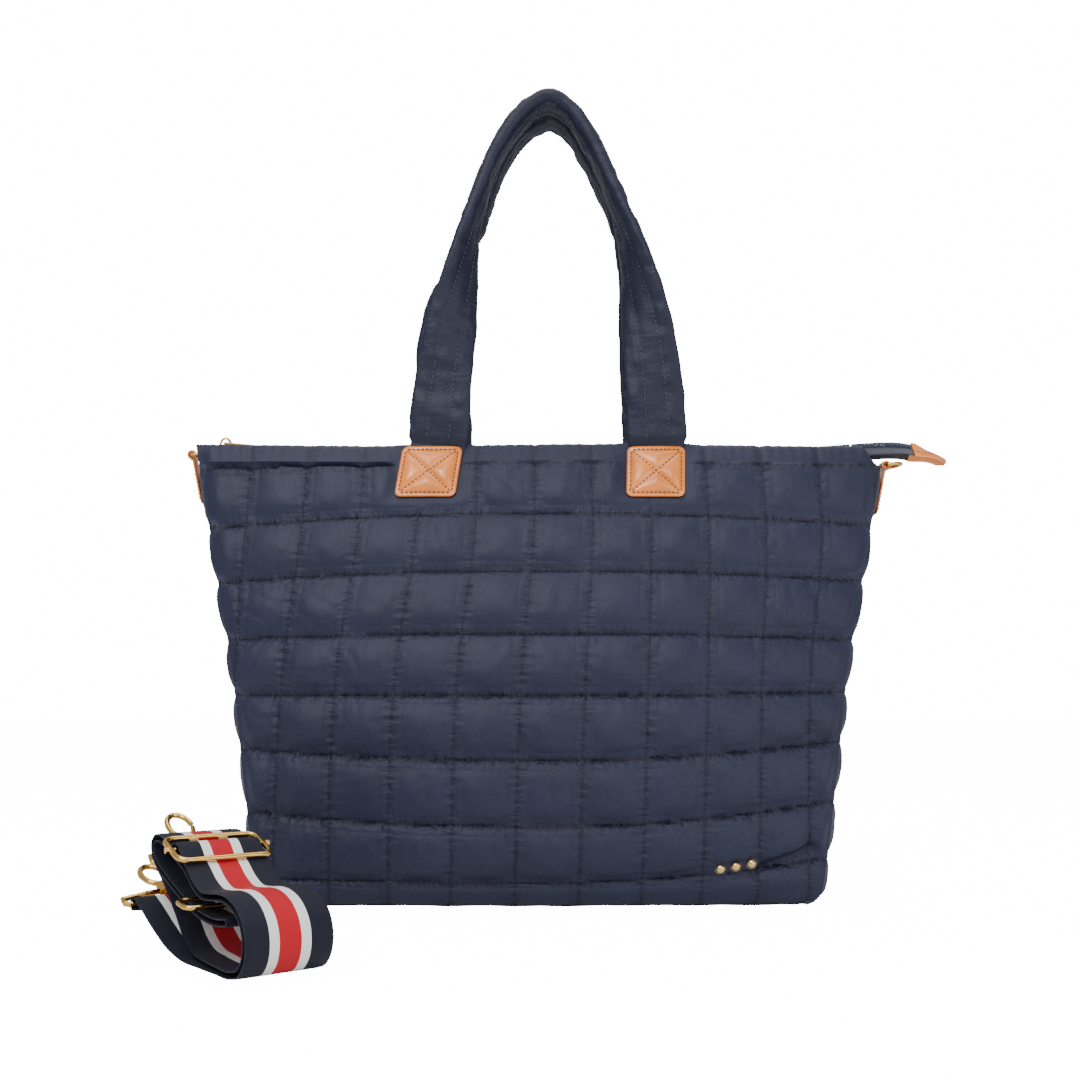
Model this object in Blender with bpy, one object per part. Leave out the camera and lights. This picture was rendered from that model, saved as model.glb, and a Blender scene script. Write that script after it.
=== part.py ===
"""Quilted travel tote with a zip top, two padded handles, a D-ring at each end and a loose shoulder strap.

Metres, +Z up, +X to the bag's right as seen from the front, -Y to the front.
The origin is the centre of the base's underside.
"""

import math

import bmesh
import bpy
import numpy as np
from mathutils import Vector

# Overall size
BAG_HEIGHT = 0.336

# Sheet thicknesses and the clearance between neighbouring pieces
PANEL = 0.006
LINING = 0.001
GAP = 0.0003
LINING_GAP = 0.0010

# How the silhouette, the middle of each wall and the seams change with height
HEIGHTS = (0.0, 0.03, 0.10, 0.17, 0.25, 0.30, BAG_HEIGHT)
HALF_WIDTHS = (0.206, 0.212, 0.2205, 0.230, 0.245, 0.2525, 0.2585)
WALL_DEPTHS = (0.066, 0.076, 0.080, 0.074, 0.052, 0.034, 0.020)
SEAM_DEPTHS = (0.060, 0.062, 0.060, 0.052, 0.036, 0.025, 0.0178)
GUSSET_BULGES = (0.008, 0.010, 0.010, 0.010, 0.008, 0.005, 0.003)
BASE_CORNER = 0.014
WALL_FULLNESS = 2.5
RIGHT_CORNER_DROP = 0.016
RIGHT_DROP_FROM = 0.93
WALL_FOOT = PANEL + GAP
WALL_LINING_TRIM = 0.006
GUSSET_TOPS = {"left": 0.326, "right": 0.316}
BOARD = 0.002
BOARD_INSET = 0.010
BASE_FOOT = ((0.006, 0.0), (0.002, 0.002), (0.0, PANEL))

# Zip: the chain's top runs up slightly towards the right
ZIP_LEVEL = 0.337
ZIP_SLOPE = 0.0104
ZIP_START = -0.2445
ZIP_END = 0.2360
TAPE = 0.001
CHAIN_TOP_OVER_TAPE = 0.0032
CHAIN_HALF = (0.0008, 0.0035)
TAPE_REACH = 0.0105
TAPE_INNER_EDGE = 0.0010
SLIDER_X = -0.2380
SLIDER_HALF_LENGTH = 0.0055
SLIDER_HALF_WIDTH = 0.0048
SLIDER_SPINE = 0.0004
SLIDER_TOP = (0.0016, 0.0030)
SLIDER_FLOOR = 0.0013
CROWN_OUTER = (0.0052, 0.0082)
CROWN_INNER = (0.0036, 0.0066)
CROWN_HALF_WIDTH = 0.0012
PULL_AXIS = Vector((SLIDER_X, 0.0, ZIP_LEVEL + ZIP_SLOPE * SLIDER_X + 0.0063))
PULL_LENGTH = 0.034
PULL_HALF_WIDTH = 0.0042
PULL_THICKNESS = 0.0012
PULL_BORDER = 0.0013
PULL_CORNER = 0.0018
PULL_START = -0.0011
WINDOW_MIDDLE = 0.0065
WINDOW_HALF = 0.0052
WINDOW_CORNER = 0.0010
STOP_LENGTH = 0.0020
STOP_HALF_WIDTH = 0.0040
TAIL_HINGE_X = 0.2640
TAIL_END_X = 0.2840
TAIL_TAB_END_X = 0.3070
TAIL_RISE = 0.0030
TAIL_BEND = 6.8
TAIL_GAP = 0.0006
TAIL_HINGE_LIFT = 0.0021
TAIL_CHAIN_END_X = 0.2765
TAIL_CHAIN = (0.0035, 0.0006, 0.0026)
TAIL_ROOT_TAPE = (0.0085, 0.0045, TAPE)
TAIL_FREE_TAPE = (0.0095, 0.0060, TAPE)
TAIL_TAB_START_X = 0.2775
TAIL_TAB_THROAT_X = 0.2848
TAIL_TAB_HALF = 0.0105
TAIL_TAB_DROP = 0.0066
TAIL_TAB_LEATHER = 0.0016

# Handles: centre line of the front one, and its section from foot to crown
HANDLE_LINE = (
    (-0.0750, 0.3395), (-0.0710, 0.3839), (-0.0600, 0.4540), (-0.0510, 0.5010),
    (-0.0420, 0.5303), (-0.0330, 0.5533), (-0.0200, 0.5742), (-0.0070, 0.5878),
    (0.0065, 0.5935), (0.0220, 0.5852), (0.0360, 0.5658), (0.0485, 0.5397),
    (0.0580, 0.5156), (0.0700, 0.4759), (0.0775, 0.4341), (0.0835, 0.3871),
    (0.0865, 0.3395),
)
HANDLE_FOOT_Y = 0.0262
HANDLE_CROWN_Y = 0.0148
HANDLE_WIDTH = (0.044, 0.027)
HANDLE_THICKNESS = (0.0055, 0.0125)
HANDLE_TWIST = (0.02, 0.62)
HANDLE_PIVOT_Z = 0.3383
BACK_HANDLE_SPREAD = 0.015
BACK_BOW = (0.215, 0.31)
SLEEVE = 0.0012
HANDLE_STEPS = 30

# Leather patches over the handle feet: centre x at top and at bottom, half width
PATCH_TOP = 0.3325
PATCH_BOTTOM = 0.2930
PATCH_THICKNESS = 0.0022
PATCH_CORNER = 0.0015
PATCHES = {"left": (-0.0790, -0.0838, 0.0225), "right": (0.0862, 0.0845, 0.0220)}

# Studs
STUD_RADIUS = 0.0036
STUD_HEIGHT = 0.0027
STUDS = ((0.1256, 0.0296), (0.1364, 0.0313), (0.1475, 0.0331))

# End tabs and D-rings
TAB_HALF_WIDTH = 0.007
TAB_THICKNESS = 0.0016
TAB_LOOP = 0.0029
TAB_LOOP_TURN = math.radians(280)
TAB_SLACK = 0.00066
TAB_LENGTH = 0.036
RING_WIRE = 0.0013
RING_HALF_WIDTH = 0.0080
RING_DEPTH = 0.013
RING_CORNER = 0.0025
RING_LEVELS = {"left": 0.3315, "right": 0.3235}
RIGHT_RING_LIFT = math.radians(8)

# Shoulder strap: a flattened roll on the floor, in front of the bag's left corner
STRAP_WIDTH = 0.050
STRAP_THICKNESS = 0.0013
STRAP_FOOT = Vector((-0.2110, -0.1740, 0.0))
STRAP_ALONG = Vector((0.6, -0.8, 0.0))
STRAP_ACROSS = Vector((0.8, 0.6, 0.0))
# Outer layer of the roll, distance forward and height in millimetres
ROLL = (
    (-4, 28.5), (6, 23.5), (20, 15.0), (36, 6.5), (54, 1.5), (75, 0.75),
    (95, 0.75), (112, 1.2), (124, 4.5), (131.5, 12), (134, 22), (131, 31.5), (123, 39),
    (111, 43.3), (98, 44), (85, 42.5), (73, 42), (62, 45.9), (50, 53.5), (36, 58.6),
    (22, 63.3), (8, 66.9), (-1, 66.2), (-7, 60.5), (-4.5, 53), (4, 47), (20, 41),
    (40, 34.5), (60, 29), (80, 26.5), (96, 26.5), (107, 28),
)
# Back end of the inner layer, which runs on past the outer one
INNER_END = ((-21, 43.5), (-14, 39.8), (-6, 35.6), (4, 29.6))
ROLL_INSET = 0.0036
ROLL_STEPS = 86
WEAVE_AT = 0.036
WEAVE_HALF = 0.013
WEAVE_RISE = 0.0058
ADJUSTER_WIRE = 0.0017
ADJUSTER_BAR = 0.0015
ADJUSTER_HALF = (0.0280, 0.0140)
ADJUSTER_CORNER = 0.006
ADJUSTER_LEVEL = 0.0614
ADJUSTER_SLOPE = 0.337
STRAP_RING_AT = (0.070, 0.0353)
STRAP_RING_HALF = (0.0290, 0.0080)
STRAP_RING_CORNER = 0.005
STRAP_RING_WIRE = 0.0014
STRAP_RING_SHIFT = -0.006
STRAP_RING_SLOPE = 0.12
CURL_SLACK = 0.0009
CURL_TURN = math.radians(250)
# How far the two ends of the webbing drift sideways, and over what share of its length
END_DRIFTS = ((-0.012, 0.16), (0.009, 0.14))

# Snap hooks: a wide eye for the webbing, a boss that the claw turns in, and a gate
HOOK_WIRE = 0.0019
HOOK_STEM = 0.0016
HOOK_EYE_HALF = 0.0283
EYE_DEPTH = 0.0130
HOOK_BOSS = (0.0095, 0.0170)
HOOK_BOSS_RADIUS = 0.0044
CLAW_HEAD = (0.0020, 0.0029)
CLAW_COLLAR = 0.0036
CLAW_NECK = 0.0021
CLAW_SIZE = (0.0125, 0.0078)
CLAW_SWEEP = (math.radians(-172), math.radians(83))
GATE_WIRE = 0.0016
GATE_SWEEP = (math.radians(152), math.radians(98))
HOOK_RISES = {"a": math.radians(-8), "b": math.radians(3)}

MATERIALS = {
    "quilted_nylon": ((0.043, 0.052, 0.095), 0.42, 0.0),
    "lining_cloth": ((0.060, 0.066, 0.105), 0.80, 0.0),
    "padding_foam": ((0.55, 0.55, 0.56), 0.90, 0.0),
    "leather": ((0.68, 0.32, 0.11), 0.45, 0.0),
    "gold_metal": ((0.83, 0.60, 0.24), 0.22, 1.0),
    "zip_tape": ((0.030, 0.036, 0.065), 0.80, 0.0),
    "zip_coil": ((0.020, 0.024, 0.042), 0.40, 0.0),
    "striped_webbing": ((0.020, 0.022, 0.035), 0.75, 0.0),
    "base_board": ((0.09, 0.09, 0.10), 0.60, 0.0),
}


# ---------------------------------------------------------------- shared tools


def clear_scene():
    for obj in list(bpy.data.objects):
        bpy.data.objects.remove(obj)


def material(name):
    found = bpy.data.materials.get(name)
    if found:
        return found
    colour, roughness, metallic = MATERIALS[name]
    made = bpy.data.materials.new(name)
    made.use_nodes = True
    shader = made.node_tree.nodes["Principled BSDF"]
    shader.inputs["Base Color"].default_value = (*colour, 1.0)
    shader.inputs["Roughness"].default_value = roughness
    shader.inputs["Metallic"].default_value = metallic
    return made


def add_object(name, mesh_data, slot, origin=(0.0, 0.0, 0.0), smooth=30):
    """Turns a bmesh in world coordinates into a named object whose origin is the given point."""
    bmesh.ops.remove_doubles(mesh_data, verts=mesh_data.verts, dist=1e-7)
    bmesh.ops.recalc_face_normals(mesh_data, faces=mesh_data.faces)
    bmesh.ops.translate(mesh_data, verts=mesh_data.verts, vec=-Vector(origin))
    mesh = bpy.data.meshes.new(name)
    mesh_data.to_mesh(mesh)
    mesh_data.free()
    mesh.shade_smooth()
    mesh.set_sharp_from_angle(angle=math.radians(smooth))
    mesh.materials.append(material(slot))
    obj = bpy.data.objects.new(name, mesh)
    obj.location = origin
    bpy.context.scene.collection.objects.link(obj)
    return obj


def loft(rings, closed=False):
    """Skins a list of rings of points. Open stacks get flat caps, closed ones join end to end."""
    made = bmesh.new()
    rows = [[made.verts.new(Vector(point)) for point in ring] for ring in rings]
    count = len(rows[0])
    pairs = list(zip(rows, rows[1:]))
    if closed:
        pairs.append((rows[-1], rows[0]))
    for low, high in pairs:
        for i in range(count):
            j = (i + 1) % count
            made.faces.new((low[i], low[j], high[j]))
            made.faces.new((low[i], high[j], high[i]))
    if not closed:
        made.faces.new(rows[0])
        made.faces.new(rows[-1])
    return made


def slab(outer, inner):
    """A closed sheet between two grids of points of the same size."""
    made = bmesh.new()
    sides = []
    for grid in (outer, inner):
        sides.append([[made.verts.new(Vector(point)) for point in row] for row in grid])
    rows, columns = len(outer), len(outer[0])
    for side in sides:
        for r in range(rows - 1):
            for c in range(columns - 1):
                made.faces.new((side[r][c], side[r][c + 1], side[r + 1][c + 1], side[r + 1][c]))
    edge = [(0, c) for c in range(columns)]
    edge += [(r, columns - 1) for r in range(1, rows)]
    edge += [(rows - 1, c) for c in range(columns - 2, -1, -1)]
    edge += [(r, 0) for r in range(rows - 2, 0, -1)]
    for (r1, c1), (r2, c2) in zip(edge, edge[1:] + edge[:1]):
        made.faces.new((sides[0][r1][c1], sides[0][r2][c2], sides[1][r2][c2], sides[1][r1][c1]))
    return made


def smooth_value(knots, values, at):
    """A smooth curve through a few values, read at one place."""
    knots = np.asarray(knots, float)
    values = np.asarray(values, float)
    slopes = np.gradient(values, knots)
    i = int(np.clip(np.searchsorted(knots, at) - 1, 0, len(knots) - 2))
    span = knots[i + 1] - knots[i]
    t = float(np.clip((at - knots[i]) / span, 0.0, 1.0))
    start = (1 + 2 * t) * (1 - t) ** 2 * values[i] + t * (1 - t) ** 2 * span * slopes[i]
    end = t * t * (3 - 2 * t) * values[i + 1] + t * t * (t - 1) * span * slopes[i + 1]
    return float(start + end)


def smooth_line(points, steps):
    """Evenly spaced points on a smooth curve through the given ones."""
    points = np.asarray(points, float)
    reach = np.concatenate([[0], np.cumsum(np.linalg.norm(np.diff(points, axis=0), axis=1))])
    fine = np.linspace(0, reach[-1], 12 * steps)
    dims = range(points.shape[1])
    line = np.array([[smooth_value(reach, points[:, k], s) for k in dims] for s in fine])
    run = np.concatenate([[0], np.cumsum(np.linalg.norm(np.diff(line, axis=0), axis=1))])
    even = np.linspace(0, run[-1], steps + 1)
    return np.stack([np.interp(even, run, line[:, k]) for k in dims], axis=1)


def smooth_step(value, low, high):
    t = min(max((value - low) / (high - low), 0.0), 1.0)
    return t * t * (3 - 2 * t)


def tube(points, radius, sides=8, closed=False):
    """A round wire along a path that lies in one plane or bends gently."""
    path = [Vector(point) for point in points]
    count = len(path)
    rings = []
    normal = None
    for i, here in enumerate(path):
        before = path[i - 1] if (i > 0 or closed) else here
        after = path[(i + 1) % count] if (i < count - 1 or closed) else here
        tangent = (after - before).normalized()
        if normal is None:
            normal = tangent.orthogonal().normalized()
            if closed:
                plane = (path[1] - path[0]).cross(path[count // 3] - path[0])
                normal = plane.normalized()
        normal = (normal - tangent * normal.dot(tangent)).normalized()
        across = tangent.cross(normal)
        turns = [2 * math.pi * k / sides for k in range(sides)]
        rings.append([here + radius * (math.cos(a) * normal + math.sin(a) * across) for a in turns])
    return loft(rings, closed=closed)


def rounded_loop(half_x, half_y, corner):
    """A rounded rectangle's points in a plane, centred on the origin."""
    points = []
    for centre_x, centre_y, start in (
        (half_x - corner, half_y - corner, 0.0),
        (corner - half_x, half_y - corner, 0.5 * math.pi),
        (corner - half_x, corner - half_y, math.pi),
        (half_x - corner, corner - half_y, 1.5 * math.pi),
    ):
        for k in range(5):
            angle = start + 0.5 * math.pi * k / 4
            points.append((centre_x + corner * math.cos(angle), centre_y + corner * math.sin(angle)))
    return points


# ---------------------------------------------------------------- shape of the bag


def seam_half_width(z):
    """Half the distance between the side seams, at a height."""
    width = smooth_value(HEIGHTS, HALF_WIDTHS, z) - gusset_bulge(z)
    if z < BASE_CORNER:
        width -= BASE_CORNER - math.sqrt(BASE_CORNER**2 - (BASE_CORNER - z) ** 2)
    return width


def wall_depth(z):
    return smooth_value(HEIGHTS, WALL_DEPTHS, z)


def seam_depth(z):
    return smooth_value(HEIGHTS, SEAM_DEPTHS, z)


def gusset_bulge(z):
    return smooth_value(HEIGHTS, GUSSET_BULGES, z)


def wall_y(x, z):
    """Depth of a wall's outer face, as a positive distance from the bag's middle plane."""
    across = min(abs(x) / seam_half_width(z), 1.0)
    return seam_depth(z) + (wall_depth(z) - seam_depth(z)) * (1 - across**WALL_FULLNESS)


def rim_height(across):
    """Height of the rim, which drops at its right-hand end."""
    return BAG_HEIGHT - RIGHT_CORNER_DROP * smooth_step(across, RIGHT_DROP_FROM, 1.0)


def gusset_x(y, z):
    """Half width at the gusset's outer face."""
    return seam_half_width(z) + gusset_bulge(z) * (1 - (y / seam_depth(z)) ** 2)


def zip_top(x):
    return ZIP_LEVEL + ZIP_SLOPE * x


# ---------------------------------------------------------------- walls, gussets, base


def wall_sheet(side, inset, thickness, edge_trim, top_trim, columns=14, rows=13):
    """A wall-shaped sheet. side is -1 for the front; inset is how far it lies inside the outer face."""
    outer, inner = [], []
    for r in range(rows + 1):
        outer_row, inner_row = [], []
        for c in range(columns + 1):
            across = -1 + 2 * c / columns
            top = rim_height(across) - top_trim
            z = WALL_FOOT + (top - WALL_FOOT) * r / rows
            x = across * (seam_half_width(z) - edge_trim)
            depth = wall_y(x, z) - inset
            outer_row.append((x, side * depth, z))
            inner_row.append((x, side * (depth - thickness), z))
        outer.append(outer_row)
        inner.append(inner_row)
    return slab(outer, inner)


def gusset_sheet(side, inset, thickness, end_trim, top, rows=12, columns=6):
    """An end-panel sheet. side is -1 for the left end."""
    outer, inner = [], []
    for r in range(rows + 1):
        z = WALL_FOOT + (top - WALL_FOOT) * r / rows
        reach = seam_depth(z) - end_trim
        ys = [-reach + 2 * reach * c / columns for c in range(columns + 1)]
        outer.append([(side * (gusset_x(y, z) - inset), y, z) for y in ys])
        inner.append([(side * (gusset_x(y, z) - inset - thickness), y, z) for y in ys])
    return slab(outer, inner)


def base_outline(inset, z, per_side=10):
    """Plan outline of the bag's foot, walked round once."""
    width = seam_half_width(WALL_FOOT)
    points = []
    for c in range(per_side + 1):
        x = -width + 2 * width * c / per_side
        points.append((x, -wall_y(x, WALL_FOOT), z))
    reach = seam_depth(WALL_FOOT)
    for c in range(1, 6):
        y = -reach + 2 * reach * c / 6
        points.append((gusset_x(y, WALL_FOOT), y, z))
    for c in range(per_side + 1):
        x = width - 2 * width * c / per_side
        points.append((x, wall_y(x, WALL_FOOT), z))
    for c in range(1, 6):
        y = reach - 2 * reach * c / 6
        points.append((-gusset_x(y, WALL_FOOT), y, z))
    middle = [(width - inset) / width, (reach - inset) / reach]
    return [(x * middle[0], y * middle[1], level) for x, y, level in points]


def make_base():
    add_object("base_panel", loft([base_outline(*level) for level in BASE_FOOT]), "quilted_nylon")
    board_top = WALL_FOOT + BOARD
    rings = [base_outline(BOARD_INSET, z) for z in (WALL_FOOT, board_top)]
    add_object("base_board", loft(rings), "base_board")
    low = board_top + GAP
    rings = [base_outline(BOARD_INSET, z) for z in (low, low + LINING)]
    add_object("base_lining", loft(rings), "lining_cloth")


def make_walls():
    for side, name in ((-1, "front"), (1, "back")):
        pivot = (0.0, side * wall_y(0.0, WALL_FOOT), WALL_FOOT)
        panel = wall_sheet(side, 0.0, PANEL, 0.0, 0.0)
        add_object(f"{name}_panel", panel, "quilted_nylon", pivot)
        inset = PANEL + LINING_GAP
        lining = wall_sheet(side, inset, LINING, inset, WALL_LINING_TRIM)
        add_object(f"{name}_lining", lining, "lining_cloth", pivot)


def make_gussets():
    for side, name in ((-1, "left"), (1, "right")):
        top = GUSSET_TOPS[name]
        panel = gusset_sheet(side, 0.0, PANEL, PANEL + GAP, top)
        add_object(f"{name}_gusset", panel, "quilted_nylon")
        lining_trim = PANEL + LINING + 2 * LINING_GAP
        lining = gusset_sheet(side, PANEL + LINING_GAP, LINING, lining_trim, top - WALL_LINING_TRIM)
        add_object(f"{name}_gusset_lining", lining, "lining_cloth")


# ---------------------------------------------------------------- leather and studs


def make_patches():
    for side, wall in ((-1, "front"), (1, "back")):
        for name, (top_x, bottom_x, half) in PATCHES.items():
            outer, inner = [], []
            for r in range(5):
                t = r / 4
                z = PATCH_BOTTOM + (PATCH_TOP - PATCH_BOTTOM) * t
                middle = bottom_x + (top_x - bottom_x) * t
                shy = PATCH_CORNER if r in (0, 4) else 0.0
                xs = [middle - half + shy + 2 * (half - shy) * c / 4 for c in range(5)]
                faces = [(x, wall_y(x, z) + 2 * GAP) for x in xs]
                inner.append([(x, side * depth, z) for x, depth in faces])
                outer.append([(x, side * (depth + PATCH_THICKNESS), z) for x, depth in faces])
            add_object(f"{wall}_patch_{name}", slab(outer, inner), "leather")


def make_studs():
    for number, (x, z) in enumerate(STUDS, 1):
        back = -wall_y(x, z) - 2.5 * GAP
        rings = []
        for k in range(5):
            lift = math.sin(0.5 * math.pi * k / 4.6)
            radius = STUD_RADIUS * math.cos(0.5 * math.pi * k / 4.6)
            turns = [2 * math.pi * i / 12 for i in range(12)]
            y = back - STUD_HEIGHT * lift
            rings.append([(x + radius * math.cos(a), y, z + radius * math.sin(a)) for a in turns])
        add_object(f"stud_{number}", loft(rings), "gold_metal", (x, back, z))


# ---------------------------------------------------------------- end tabs and D-rings


def ring_bar(name):
    """Centre of the D-ring's straight bar, held in the loop at the top of the leather tab."""
    side = -1 if name == "left" else 1
    level = RING_LEVELS[name]
    strip = gusset_x(0.0, min(level, BAG_HEIGHT)) + GAP + TAB_THICKNESS / 2
    return Vector((side * (strip + TAB_LOOP), 0.0, level))


def make_ring_tabs():
    for side, name in ((-1, "left"), (1, "right")):
        bar = ring_bar(name)
        low = bar.z - TAB_LENGTH
        path = []
        for k in range(5):
            z = low + (bar.z - low) * k / 4
            path.append((gusset_x(0.0, z) + TAB_SLACK + TAB_THICKNESS / 2, z))
        path[-1] = (abs(bar.x) - TAB_LOOP, bar.z)
        for k in range(1, 12):
            angle = math.pi - TAB_LOOP_TURN * k / 11
            path.append((abs(bar.x) + TAB_LOOP * math.cos(angle), bar.z + TAB_LOOP * math.sin(angle)))
        left_edge, right_edge = [], []
        for i, (x, z) in enumerate(path):
            before = path[max(i - 1, 0)]
            after = path[min(i + 1, len(path) - 1)]
            run = Vector((after[0] - before[0], after[1] - before[1])).normalized()
            half = TAB_THICKNESS / 2
            left_edge.append((side * (x - run.y * half), z + run.x * half))
            right_edge.append((side * (x + run.y * half), z - run.x * half))
        grids = []
        for edge in (left_edge, right_edge):
            grids.append([[(x, y, z) for y in (-TAB_HALF_WIDTH, TAB_HALF_WIDTH)] for x, z in edge])
        add_object(f"{name}_ring_tab", slab(*grids), "leather")


def make_rings():
    for name, heading in (("left", 0.0), ("right", RIGHT_RING_LIFT)):
        bar = ring_bar(name)
        corner = RING_CORNER
        flank = RING_HALF_WIDTH + RING_WIRE
        outline = [(0.0, -0.6 * flank), (0.0, 0.0), (0.0, 0.6 * flank)]
        outline += [(corner * 0.3, flank - corner * 0.3), (corner, flank)]
        straight = RING_DEPTH - flank
        for k in range(13):
            angle = math.pi * k / 12
            outline.append((straight + flank * math.sin(angle), flank * math.cos(angle)))
        outline += [(corner, -flank), (corner * 0.3, -flank + corner * 0.3)]
        points = []
        for out, y in outline:
            x = out * math.cos(heading)
            z = out * math.sin(heading)
            points.append(bar + Vector((x, y, z)))
        add_object(f"{name}_ring", tube(points, RING_WIRE, closed=True), "gold_metal", bar)


# ---------------------------------------------------------------- zip


def along_zip(x, y, lift):
    """A point over the zip's own line, which slopes up a little to the right."""
    return (x, y, zip_top(x) + lift)


def zip_bar(x_from, x_to, y_from, y_to, lift_from, lift_to):
    corners = ((y_from, lift_from), (y_to, lift_from), (y_to, lift_to), (y_from, lift_to))
    return loft([[along_zip(x, y, lift) for y, lift in corners] for x in (x_from, x_to)])


def tape_outer_edge(x):
    """How far a tape reaches from the middle, ending beside the wall's lining."""
    return wall_y(x, BAG_HEIGHT) - PANEL - LINING - 2 * LINING_GAP


def make_zip():
    tape_top = -CHAIN_TOP_OVER_TAPE
    steps = 12
    for side, name in ((-1, "front"), (1, "back")):
        rings = []
        for k in range(steps + 1):
            x = ZIP_START + (ZIP_END - ZIP_START) * k / steps
            near, far = side * TAPE_INNER_EDGE, side * min(tape_outer_edge(x), TAPE_REACH)
            corners = ((near, tape_top - TAPE), (far, tape_top - TAPE), (far, tape_top), (near, tape_top))
            rings.append([along_zip(x, y, lift) for y, lift in corners])
        add_object(f"zip_tape_{name}", loft(rings), "zip_tape")
        near, far = side * CHAIN_HALF[0], side * CHAIN_HALF[1]
        chain = zip_bar(ZIP_START + GAP, ZIP_END, near, far, tape_top + GAP, 0.0)
        add_object(f"zip_chain_{name}", chain, "zip_coil")
    stop_end = ZIP_START - GAP
    across = (-STOP_HALF_WIDTH, STOP_HALF_WIDTH)
    stop = zip_bar(stop_end - STOP_LENGTH, stop_end, *across, tape_top - TAPE, 0.0)
    add_object("zip_top_stop", stop, "gold_metal")


def make_slider():
    """An I-shaped body: a plate over the coil, a spine between its sides and a plate below."""
    floor_top = -CHAIN_TOP_OVER_TAPE - TAPE - SLIDER_FLOOR
    low, high = SLIDER_TOP
    half, spine, foot = SLIDER_HALF_WIDTH, SLIDER_SPINE, floor_top - SLIDER_FLOOR
    right_side = ((half, foot), (half, floor_top), (spine, floor_top))
    right_side += ((spine, low), (half, low), (half, high))
    section = right_side + tuple((-y, lift) for y, lift in right_side[::-1])
    ends = (SLIDER_X - SLIDER_HALF_LENGTH, SLIDER_X + SLIDER_HALF_LENGTH)
    rings = [[along_zip(x, y, lift) for y, lift in section] for x in ends]
    origin = along_zip(SLIDER_X, 0.0, 0.0)
    add_object("slider_body", loft(rings), "gold_metal", origin)
    base = zip_top(SLIDER_X) + high + GAP
    arch = []
    for radius_x, radius_z in (CROWN_OUTER, CROWN_INNER):
        angles = [math.pi * k / 10 for k in range(11)]
        arch.append([(SLIDER_X - radius_x * math.cos(a), base + radius_z * math.sin(a)) for a in angles])
    outline = arch[0] + arch[1][::-1]
    rings = [[(x, y, z) for x, z in outline] for y in (-CROWN_HALF_WIDTH, CROWN_HALF_WIDTH)]
    add_object("slider_crown", loft(rings), "gold_metal", origin)


def make_pull():
    """A leaf with a window whose end bar passes under the slider's crown."""
    middle = 0.5 * (PULL_START + PULL_LENGTH)
    outer_shape = rounded_loop(PULL_LENGTH - middle, PULL_HALF_WIDTH, PULL_CORNER)
    inner_shape = rounded_loop(WINDOW_HALF, PULL_HALF_WIDTH - PULL_BORDER, WINDOW_CORNER)
    low = PULL_AXIS.z - PULL_THICKNESS / 2
    high = PULL_AXIS.z + PULL_THICKNESS / 2
    rings = []
    for shape, centre, level in (
        (outer_shape, middle, low), (outer_shape, middle, high),
        (inner_shape, WINDOW_MIDDLE, high), (inner_shape, WINDOW_MIDDLE, low),
    ):
        rings.append([(PULL_AXIS.x + centre + a, b, level) for a, b in shape])
    add_object("pull_leaf", loft(rings, closed=True), "gold_metal", PULL_AXIS)


def roof_sheet(x_from, x_to, lift, half, drop, thickness, steps=4):
    """A strip folded down each side of its ridge, following the tail's bend."""
    rings = []
    for k in range(steps + 1):
        x = x_from + (x_to - x_from) * k / steps
        sink = tail_sink(x)
        section = (
            (-half, lift - drop), (0.0, lift), (half, lift - drop),
            (half, lift - drop - thickness), (0.0, lift - thickness), (-half, lift - drop - thickness),
        )
        rings.append([(x, y, zip_top(x) + z - sink) for y, z in section])
    return loft(rings)


def tail_sink(x):
    """The tail rises a touch over the rim's end, then bends down towards its tip."""
    along = max(x - TAIL_HINGE_X, 0.0)
    return TAIL_BEND * along**2 - TAIL_RISE * smooth_step(x, ZIP_END, TAIL_HINGE_X)


def make_tail():
    tape_top = -CHAIN_TOP_OVER_TAPE
    hinge = (TAIL_HINGE_X, 0.0, zip_top(TAIL_HINGE_X) + TAIL_HINGE_LIFT)
    root_end = TAIL_HINGE_X - TAIL_GAP
    root_start = ZIP_END + TAIL_GAP
    root = roof_sheet(root_start, root_end, tape_top, *TAIL_ROOT_TAPE)
    add_object("tail_root_tape", root, "zip_tape")
    root_chain = roof_sheet(root_start, root_end - TAIL_GAP, 0.0, *TAIL_CHAIN)
    add_object("tail_root_chain", root_chain, "zip_coil")
    free_start = TAIL_HINGE_X + TAIL_GAP
    free = roof_sheet(free_start, TAIL_END_X, tape_top, *TAIL_FREE_TAPE)
    add_object("tail_tape", free, "zip_tape", hinge)
    chain = roof_sheet(free_start + TAIL_GAP, TAIL_CHAIN_END_X, 0.0, *TAIL_CHAIN)
    add_object("tail_chain", chain, "zip_coil", hinge)
    make_tail_tab(hinge)


def make_tail_tab(hinge):
    """A leather cover folded over the tape's end: thick past the tape, forked over it."""
    start, end = TAIL_TAB_START_X, TAIL_TAB_END_X
    places = [start + (end - start) * k / 6 for k in range(7)]
    above = -CHAIN_TOP_OVER_TAPE + 2 * GAP
    below = -CHAIN_TOP_OVER_TAPE - TAPE - 2 * GAP
    upper = [(x, above + TAIL_TAB_LEATHER) for x in places]
    inner_top = [(TAIL_TAB_THROAT_X, above), (start, above)]
    inner_bottom = [(start, below), (TAIL_TAB_THROAT_X, below)]
    lower = [(x, below - TAIL_TAB_LEATHER) for x in places]
    outline = upper + lower[::-1] + inner_bottom + inner_top
    rings = []
    for y, fall in ((-TAIL_TAB_HALF, TAIL_TAB_DROP), (0.0, 0.0), (TAIL_TAB_HALF, TAIL_TAB_DROP)):
        rings.append([(x, y, zip_top(x) + lift - fall - tail_sink(x)) for x, lift in outline])
    add_object("tail_tab", loft(rings), "leather", hinge)


# ---------------------------------------------------------------- handles


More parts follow.
